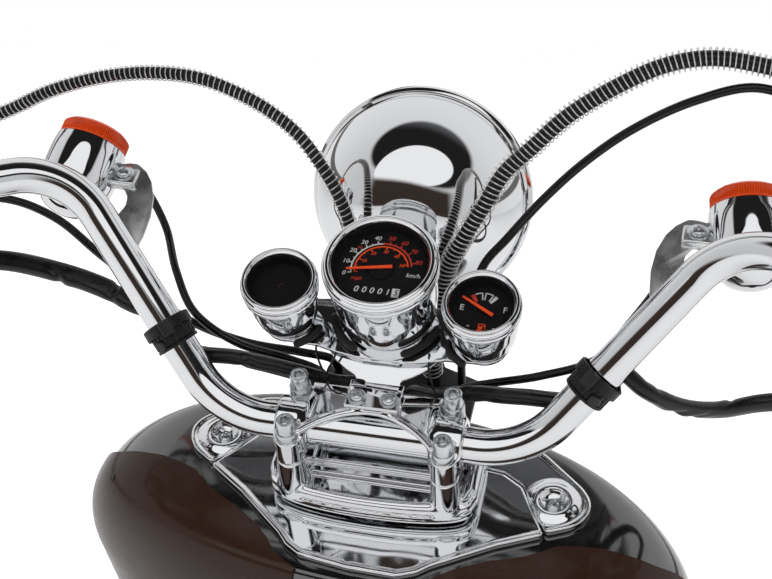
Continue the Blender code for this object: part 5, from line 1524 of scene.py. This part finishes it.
def strap_seat(side):
    """Middle of a strap on the bar, the bar's axis there, and the way to the sleeve beside it."""
    middle, axis = flip(BAR_LOW + RISE * STRAP_AT, side), flip(RISE, side)
    away = flip(STRAP_SIDE, side)
    return middle, axis, (away - away.dot(axis) * axis).normalized()


def signal_exit(side):
    """Start of a signal's lead, out of the front of its block."""
    block = flip(SIGNAL_SCREW, side)
    return [block + Vector(step) for step in (
        (-side * 0.003, 0.0073, -0.006), (-side * 0.003, 0.0140, -0.006), (-side * 0.008, 0.0150, -0.022))]


def cord_routes():
    """Every cord's radius and the points of its route."""
    seats = {}
    for word, side in SIDES.items():
        middle, axis, away = strap_seat(side)
        seats[word] = [middle + away * STRAP_OFFSET + axis * 0.014,
            middle + away * STRAP_OFFSET - axis * 0.014]
    return {
        "left_brake_hose": (0.0048, cord_start(-1, "hose") + [
            (-0.345, 0.120, 0.126), (-0.325, 0.141, 0.125), (-0.297, 0.150, 0.135), (-0.267, 0.155, 0.150),
            (-0.227, 0.160, 0.163), (-0.188, 0.160, 0.171), (-0.149, 0.155, 0.174), (-0.118, 0.150, 0.167),
            (-0.094, 0.142, 0.160), (-0.071, 0.132, 0.148), (-0.052, 0.120, 0.129), (-0.040, 0.112, 0.109),
            (-0.032, 0.106, 0.080), (-0.028, 0.100, 0.030), (-0.027, 0.090, -0.010), (-0.027, 0.088, -0.030),
        ]),
        "right_brake_hose": (0.0058, cord_start(1, "hose") + [
            (0.346, 0.125, 0.168), (0.316, 0.150, 0.190), (0.275, 0.164, 0.206), (0.231, 0.170, 0.213),
            (0.200, 0.170, 0.215), (0.172, 0.165, 0.210), (0.142, 0.155, 0.197), (0.112, 0.145, 0.177),
            (0.091, 0.135, 0.157), (0.073, 0.125, 0.140), (0.060, 0.114, 0.117), (0.047, 0.106, 0.093),
            (0.036, 0.102, 0.067), (0.028, 0.096, 0.020), (0.025, 0.090, -0.010), (0.025, 0.088, -0.030),
        ]),
        "throttle_cable": (0.0031, cord_start(1, "throttle") + [
            (0.352, 0.050, 0.092), (0.346, 0.095, 0.104), (0.330, 0.128, 0.132), (0.305, 0.148, 0.165),
            (0.270, 0.158, 0.190), (0.232, 0.160, 0.202), (0.195, 0.155, 0.192), (0.155, 0.150, 0.167),
            (0.125, 0.140, 0.143), (0.100, 0.128, 0.118), (0.076, 0.116, 0.088), (0.060, 0.110, 0.065),
            (0.050, 0.098, 0.020), (0.047, 0.088, -0.010), (0.047, 0.086, -0.030),
        ]),
        "left_switch_cable": (0.0032, cord_start(-1, "cable") + [
            (-0.345, 0.060, 0.098), (-0.325, 0.100, 0.086), (-0.295, 0.110, 0.080), (-0.258, 0.104, 0.071),
            (-0.227, 0.095, 0.050), (-0.195, 0.086, 0.030), (-0.155, 0.072, 0.014), (-0.110, 0.066, 0.004),
            (-0.070, 0.072, -0.006), (-0.050, 0.080, -0.018), (-0.047, 0.083, -0.030),
        ]),
        "left_signal_lead": (0.0030, signal_exit(-1) + [
            (-0.194, 0.135, 0.072), (-0.184, 0.127, 0.052), (-0.166, 0.092, 0.043), (-0.146, 0.066, 0.030),
            (-0.110, 0.050, 0.020), (-0.075, 0.052, 0.008), (-0.052, 0.060, -0.012), (-0.050, 0.062, -0.030),
        ]),
        "right_signal_lead": (0.0030, signal_exit(1) + [
            (0.194, 0.135, 0.072), (0.184, 0.127, 0.052), (0.166, 0.092, 0.043), (0.146, 0.066, 0.030),
            (0.110, 0.052, 0.022), (0.075, 0.052, 0.008), (0.052, 0.060, -0.012), (0.050, 0.062, -0.030),
        ]),
        "left_wiring_sleeve": (SLEEVE_RADIUS, cord_start(-1, "sleeve") + [
            (-0.345, 0.030, 0.080), (-0.315, 0.058, 0.064), (-0.283, 0.066, 0.060), (-0.241, 0.060, 0.061),
            (-0.207, 0.052, 0.059), (-0.180, 0.046, 0.052), *seats["left"], (-0.103, 0.034, 0.022),
            (-0.066, 0.037, 0.012), (-0.036, 0.044, -0.004), (-0.016, 0.058, -0.018), (-0.010, 0.062, -0.030),
        ]),
        "right_wiring_sleeve": (SLEEVE_RADIUS, cord_start(1, "sleeve") + [
            (0.345, 0.030, 0.075), (0.315, 0.075, 0.024), (0.284, 0.086, -0.008), (0.259, 0.085, -0.016),
            (0.236, 0.074, -0.014), (0.208, 0.056, 0.004), (0.182, 0.046, 0.027), *seats["right"],
            (0.098, 0.034, 0.018), (0.066, 0.039, 0.010), (0.040, 0.046, -0.005), (0.020, 0.058, -0.018),
            (0.012, 0.062, -0.030),
        ]),
    }


def creased(path, radius, sides, seed):
    """Soft flat sleeve along a path: r(s, a) = r (1 + flat cos 2(a - t(s)) + swells - folds).

    Each fold is a slanting valley exp(-((s - s0 - slant cos(a - a0)) / w)^2) on one side."""
    along = lengths(path)[:, None]
    a = round_angles(sides)[None, :]
    rng = np.random.default_rng(seed)
    total = along[-1, 0]
    ease = np.clip(np.minimum(along, total - along) / 0.02, 0, 1)
    lie = 0.9 * np.sin(along / 0.11 + seed)
    ripple = 0.17 * np.cos(2 * (a - lie)) + 0.05 * np.sin(along / 0.019 + seed) * np.cos(a - lie)
    for _ in range(16):
        middle, width = rng.uniform(0.02, total - 0.02), rng.uniform(0.0018, 0.0050)
        slant = rng.uniform(-0.014, 0.014)
        turn, depth = rng.uniform(0, 6.28), rng.uniform(0.10, 0.26)
        across = np.cos(a - turn)
        valley = np.exp(-(((along - middle - slant * across) / width) ** 2))
        ripple = ripple - depth * valley * np.clip(0.35 + across, 0, 1)
        beside = np.exp(-(((along - middle - 0.006 - slant * across) / (1.6 * width)) ** 2))
        ripple = ripple + 0.4 * depth * beside * np.clip(across, 0, 1)
    _, n, b = frames(path)
    r = radius * (1.03 + ease * ripple)[:, :, None]
    ring = n[:, None] * np.cos(a)[0][None, :, None] + b[:, None] * np.sin(a)[0][None, :, None]
    return capped(surface(np.asarray(path)[:, None] + r * ring, wrap_columns=True), len(path), sides)


def belt(bar_radius, rows):
    """Belt round the bar and its sleeve, whose rows (let out, height, rib height) are joined in a ring."""
    grid = []
    for extra, height, rib in rows:
        near, far = bar_radius + FIT + extra, SLEEVE_RADIUS + FIT + extra
        angle = math.degrees(math.acos((near - far) / STRAP_OFFSET))
        line = np.concatenate([
            arc((0, 0), near, angle, 360 - angle, 60), arc((STRAP_OFFSET, 0), far, -angle, angle, 30)])
        line = np.column_stack([np.concatenate([line, line[:1]]), np.zeros(len(line) + 1)])
        line, s = resampled(line, 281)
        line, s = line[:-1, :2], s[:-1]
        along = np.roll(line, -1, 0) - np.roll(line, 1, 0)
        along /= np.linalg.norm(along, axis=1)[:, None]
        ribs = round(0.110 / 0.0042)  # length of the belt over the pitch of its ribs
        wave = 0.5 + 0.5 * np.clip(1.8 * np.cos(2 * math.pi * ribs * np.arange(280) / 280), -1, 1)
        line = line + np.stack([along[:, 1], -along[:, 0]], 1) * (rib * wave)[:, None]
        grid.append(np.column_stack([line, np.full(280, height)]))
    return surface(grid, wrap_rows=True, wrap_columns=True)


def strap_shapes(bar_radius, side):
    """Ladder strap with a second turn over it and its free end."""
    thick, half = 0.0025, 0.008
    low = thick - 0.0009
    edge = [(thick - 0.0003, half, 0), (thick, half - 0.0003, 0), (thick, half - 0.0020, 0),
        (low, half - 0.0024, 0), (low, half - 0.0030, 0.0009)]
    rows = [(0, -half, 0), (0, half, 0), *edge, *[(extra, -height, rib) for extra, height, rib in edge[::-1]]]
    over_half, over = 0.0040, thick + 0.0002
    second = [(over, -over_half, 0), (over, over_half, 0), (over + 0.0015, over_half, 0),
        (over + 0.0019, over_half - 0.0004, 0), (over + 0.0019, 0.0004 - over_half, 0),
        (over + 0.0015, -over_half, 0)]
    tilt = shift(0, 0, 0.0068) @ spin(0.10, "Y")
    far = STRAP_OFFSET + SLEEVE_RADIUS
    tail = moved(block((0.015, 0.0019, 0.0078), 0.0008),
        shift(far + 0.006, -side * 0.004, 0.0050) @ spin(-side * 0.5, "Z"))
    return [belt(bar_radius, rows), moved(belt(bar_radius, second), tilt), tail]


def coil(path, radius, wire, pitch, bare=0.012):
    """Spring round a path but for its bare ends: centre + R (n cos wt + b sin wt), one turn each pitch."""
    whole, s = resampled(path, 4 * len(path))
    keep = (s >= bare) & (s <= s[-1] - bare)
    line = whole[keep]
    length = s[keep][-1] - s[keep][0]
    count = int(length / pitch * 14)
    line, s = resampled(line, count)
    _, n, b = frames(line)
    turn = (2 * math.pi * s / pitch)[:, None]
    return sweep(line + radius * (n * np.cos(turn) + b * np.sin(turn)), wire, 6)


class COCKPIT_OT_controls(bpy.types.Operator):
    """Ribbed grips, switch housings, lever holders and levers at the bar's ends"""

    bl_idname = "cockpit.controls"
    bl_label = "Controls"

    def execute(self, context):
        for word, side in SIDES.items():
            axis, forward, _, end = bar_end(side)
            matrix = STEER @ at(end, axis, forward)
            self.grip(word, matrix)
            self.housing(word, side, matrix)
            self.holder(word, matrix)
            self.ferrules(word, side)
        return {"FINISHED"}

    def grip(self, word, matrix):
        """Rubber grip with rings cut in it, a flange at its inner end and a closed outer end."""
        z = np.linspace(-0.010, -GRIP_LENGTH + 0.009, 140)
        rings = np.stack([0.0158 + 0.0010 * np.abs(np.sin((z + 0.010) / 0.0039 * math.pi)) ** 0.5, z], 1)
        outer = fillet([(0.0, 0.0042), (0.0150, 0.0042), (0.0172, 0.0010), (0.0172, -0.0060),
                (0.0158, -0.0080)], [0, 0.003, 0.003, 0.001, 0], 5, closed=False)
        inner = fillet([(0.0162, -GRIP_LENGTH + 0.007), (0.0205, -GRIP_LENGTH + 0.0045),
                (0.0208, -GRIP_LENGTH), (0.0, -GRIP_LENGTH)], [0, 0.001, 0.001, 0], 4, closed=False)
        build(f"{word}_grip_rubber", revolve(np.concatenate([outer, rings, inner]), 56), "rubber",
            f"{word}_grip", matrix, 50)

    def housing(self, word, side, matrix):
        """Two-part moulding round the bar with a split line, its switches and screws."""
        top = -GRIP_LENGTH - 0.003
        middle = top - HOUSING / 2

        def field(p):
            solid = drum(p, middle, HOUSING / 2, HOUSING_RADIUS, 0.002)
            switches = ball_box(
                p, (-0.012, -side * 0.014, middle), (0.015, 0.015, HOUSING / 2 - 0.002), 0.004)
            solid = melt(solid, switches, 0.004)
            split = np.maximum(np.abs(p[:, 0] - 0.001) - 0.0004, -0.0009 - solid)
            return carve(solid, split, 0.0004)

        shell = cast(field, (-0.030, -0.032, top - HOUSING - 0.002), (0.025, 0.032, top + 0.002), 0.0012)
        build(f"{word}_housing_shell", shell, "abs", f"{word}_switch_housing", matrix, 50)
        key = block((0.004, 0.0085, 0.0075), 0.0012)
        keys = [moved(key, shift(-0.0285, -side * y, middle + z))
            for y, z in ((0.006, 0.008), (0.020, 0.008), (0.020, -0.006))]
        knob = turned(
            [(0.0, 0.0040), (0.0042, 0.0040), (0.0048, 0.0), (0.0, 0.0)], [0, 0.001, 0.0005, 0], 4, 40)
        keys.append(moved(knob, at((-0.0268, -side * 0.006, middle - 0.008), -X, Z)))
        build(f"{word}_housing_keys", joined(*keys), "rubber", matrix=matrix)
        screws = [moved(pan_screw(0.0026, 0.0016), at((0.0085, -side * 0.0205, z), (0.35, -side, 0), Z))
            for z in (middle - 0.011, middle + 0.011)]
        build(f"{word}_housing_screws", joined(*screws), "zinc", matrix=matrix)

    def holder(self, word, matrix):
        """Chromed holder clamped on the bar, with its pivot bolt and cap screws."""
        end = -GRIP_LENGTH - 0.006 - HOUSING - HOLDER
        middle = end + HOLDER / 2

        def field(p):
            solid = drum(p, middle, HOLDER / 2, HOLDER_RADIUS, 0.0015)
            arm = ball_box(p, (LEVER_GAP / 2, 0, middle), (LEVER_GAP / 2, 0.009, HOLDER / 2 - 0.002), 0.004)
            cap = ball_box(p, (-0.013, 0, middle), (0.008, 0.010, HOLDER / 2 - 0.003), 0.003)
            solid = melt(melt(solid, arm, 0.006), cap, 0.003)
            split = np.maximum(np.abs(p[:, 0] + 0.006) - 0.0005, -0.0012 - solid)
            return carve(solid, split, 0.0005)

        casting = cast(field, (-0.023, -0.020, end - 0.002), (0.053, 0.020, end + HOLDER + 0.002), 0.0011)
        build(f"{word}_holder_casting", casting, "cast_chrome", f"{word}_lever_holder", matrix, 60)
        bolt = turned([(0.0, 0.0108), (0.0042, 0.0108), (0.0046, 0.0104), (0.0046, -0.0104),
                (0.0042, -0.0108), (0.0, -0.0108)], [0, 0.0005, 0.0003, 0.0003, 0.0005, 0], 3, 36)
        cap = socket_bolt(0.0040, -0.0060, 0.0028)
        caps = [moved(cap, at((-0.0205, 0, middle + z), -X, Z)) for z in (-0.0055, 0.0055)]
        pivot = moved(bolt, at((LEVER_GAP - 0.006, 0, middle + 0.005), Y, X))
        build(f"{word}_holder_bolts", joined(pivot, *caps), "zinc", matrix=matrix)
        self.lever(word, matrix, middle)

    def lever(self, word, matrix, middle):
        """Brake lever from its holder's middle towards the bar's end, thinner half way, with a ball end."""
        line = smooth([(LEVER_GAP - 0.004, 0.0, middle + HOLDER / 2 - 0.0017),
                (LEVER_GAP, 0.0, middle + 0.032), (LEVER_GAP + 0.002, 0.0, middle + 0.090),
                (LEVER_GAP + 0.008, 0.0, middle + 0.170)], 0.001)
        s, further = lengths(line), np.linspace(0.001, 0.0084, 9)
        way = (line[-1:] - line[-2:-1]) / np.linalg.norm(line[-1] - line[-2])
        line = np.concatenate([line, line[-1:] + way * further[:, None]])
        s = np.concatenate([s, s[-1] + further])
        shaft = np.where(s < s[-1] - 0.009, 0.0056 - 0.0014 * np.sin(np.clip(s / s[-1], 0, 1) * math.pi), 0.0)
        ball = np.sqrt(np.maximum(0.0085**2 - (s - s[-1] + 0.0084) ** 2, 1e-8))
        build(f"{word}_lever_blade", sweep(line, np.maximum(shaft, ball), 32), "tube_chrome",
            f"{word}_brake_lever", matrix, 60)

    def ferrules(self, word, side):
        """Plated hose end and soft boots where the cords leave the controls."""
        start, step = cord_start(side, "hose")
        nut = turned([(0.0, 0.0002), (0.0068, 0.0002), (0.0068, 0.0060), (0.0054, 0.0070), (0.0054, 0.0150),
                (0.0, 0.0150)], [0, 0.0005, 0.0006, 0.0006, 0.0006, 0], 3, 48)
        build(f"{word}_hose_ferrule", moved(nut, at(start, step - start, Z)), "zinc")
        start, step = cord_start(side, "throttle" if side > 0 else "cable")
        boot = turned([(0.0, 0.0), (0.0052, 0.0), (0.0050, 0.0060), (0.0040, 0.0200), (0.0, 0.0200)],
            [0, 0.0006, 0.004, 0.0006, 0], 4, 40)
        build(f"{word}_cable_boot", moved(boot, at(start, step - start, Z)), "rubber")


class COCKPIT_OT_cords(bpy.types.Operator):
    """Brake hoses in spring guards, cables, creased vinyl sleeves and leads"""

    bl_idname = "cockpit.cords"
    bl_label = "Hoses and cables"

    def execute(self, context):
        sizes = context.scene.cockpit_sizes
        springs = {
            "left_brake_hose": (0.0053, 0.00045, sizes.left_spring_pitch),
            "right_brake_hose": (0.0071, 0.00050, sizes.right_spring_pitch),
        }
        for number, (name, (radius, points)) in enumerate(cord_routes().items()):
            end = Vector((points[-1][0], points[-1][1], GUIDE_TOP + FIT))
            path = [*smooth(points, 0.004), tuple(end)]
            if "sleeve" in name:
                path, _ = resampled(path, int(len(path) * 2.4))
                shape = creased(path, radius, 40, number)
                look = "vinyl"
            elif name in springs:
                shape = sweep(path, radius - 0.0006, 24)
                look = "rubber"
                ring, wire, pitch = springs[name]
                build(f"{name}_spring", coil(path, ring, wire, pitch), "wire")
            else:
                shape = sweep(path, radius, 20)
                look = "cable"
            build(f"{name}_run", shape, look, name, sharp=60, slot="black_vinyl")
        self.straps(sizes.bar_radius)
        return {"FINISHED"}

    def straps(self, bar_radius):
        """Rubber straps that hold the sleeves, buckle and button towards the rider."""
        for word, side in SIDES.items():
            middle, axis, away = strap_seat(side)
            build(f"{word}_strap_belts", joined(*strap_shapes(bar_radius, side)), "rubber", f"{word}_strap",
                STEER @ at(middle, axis, away))
            rider = Vector((0.0, -0.66, 0.80))
            rider = (rider - rider.dot(axis) * axis).normalized()
            outer = axis.cross(rider)
            outer = outer if outer.x * side > 0 else -outer
            button = turned([(0.0, 0.0012), (0.0036, 0.0012), (0.0046, 0.0002), (0.0046, -0.0016),
                    (0.0, -0.0016)], [0, 0.0006, 0.0004, 0, 0], 3, 40)
            facing = (rider + 0.7 * outer).normalized()
            seat = middle + facing * (bar_radius + 0.0030) - axis * 0.0030
            buckle_way = (rider - 0.15 * outer).normalized()
            buckle = block((0.0110, 0.0090, 0.0030), 0.0009)
            place = middle + buckle_way * (bar_radius + 0.0056) + axis * 0.0068
            parts = [moved(button, at(seat, facing, axis)), moved(buckle, at(place, buckle_way, axis))]
            build(f"{word}_strap_button", joined(*parts), "abs", slot="black_rubber")


def main():
    """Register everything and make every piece."""
    register()
    scene = bpy.context.scene
    make_looks(scene.cockpit_colours, scene.cockpit_sizes)
    for step in STEPS:
        getattr(bpy.ops.cockpit, step)()


class COCKPIT_PT_panel(bpy.types.Panel):
    """Lists the cockpit's pieces in the sidebar"""

    bl_label = "Scooter cockpit"
    bl_idname = "COCKPIT_PT_panel"
    bl_space_type = "VIEW_3D"
    bl_region_type = "UI"
    bl_category = "Cockpit"

    def draw(self, context):
        for step in STEPS:
            self.layout.operator(f"cockpit.{step}")
        for group in (context.scene.cockpit_sizes, context.scene.cockpit_colours):
            for name in group.__annotations__:
                self.layout.prop(group, name)


STEPS = ["stage", "handlebar", "clamp", "gauges", "headlamp", "signals", "collar", "shield", "controls",
    "cords"]
CLASSES = [
    CockpitSizes, CockpitColours, COCKPIT_OT_stage, COCKPIT_OT_handlebar, COCKPIT_OT_clamp, COCKPIT_OT_gauges,
    COCKPIT_OT_headlamp, COCKPIT_OT_signals, COCKPIT_OT_collar, COCKPIT_OT_shield, COCKPIT_OT_controls,
    COCKPIT_OT_cords, COCKPIT_PT_panel,
]


def register():
    """Register the classes and hang the settings on the scene."""
    for item in CLASSES:
        bpy.utils.register_class(item)
    bpy.types.Scene.cockpit_sizes = bpy.props.PointerProperty(type=CockpitSizes)
    bpy.types.Scene.cockpit_colours = bpy.props.PointerProperty(type=CockpitColours)


def unregister():
    """Take the settings and the classes away again."""
    del bpy.types.Scene.cockpit_colours
    del bpy.types.Scene.cockpit_sizes
    for item in reversed(CLASSES):
        bpy.utils.unregister_class(item)


if __name__ == "__main__":
    main()
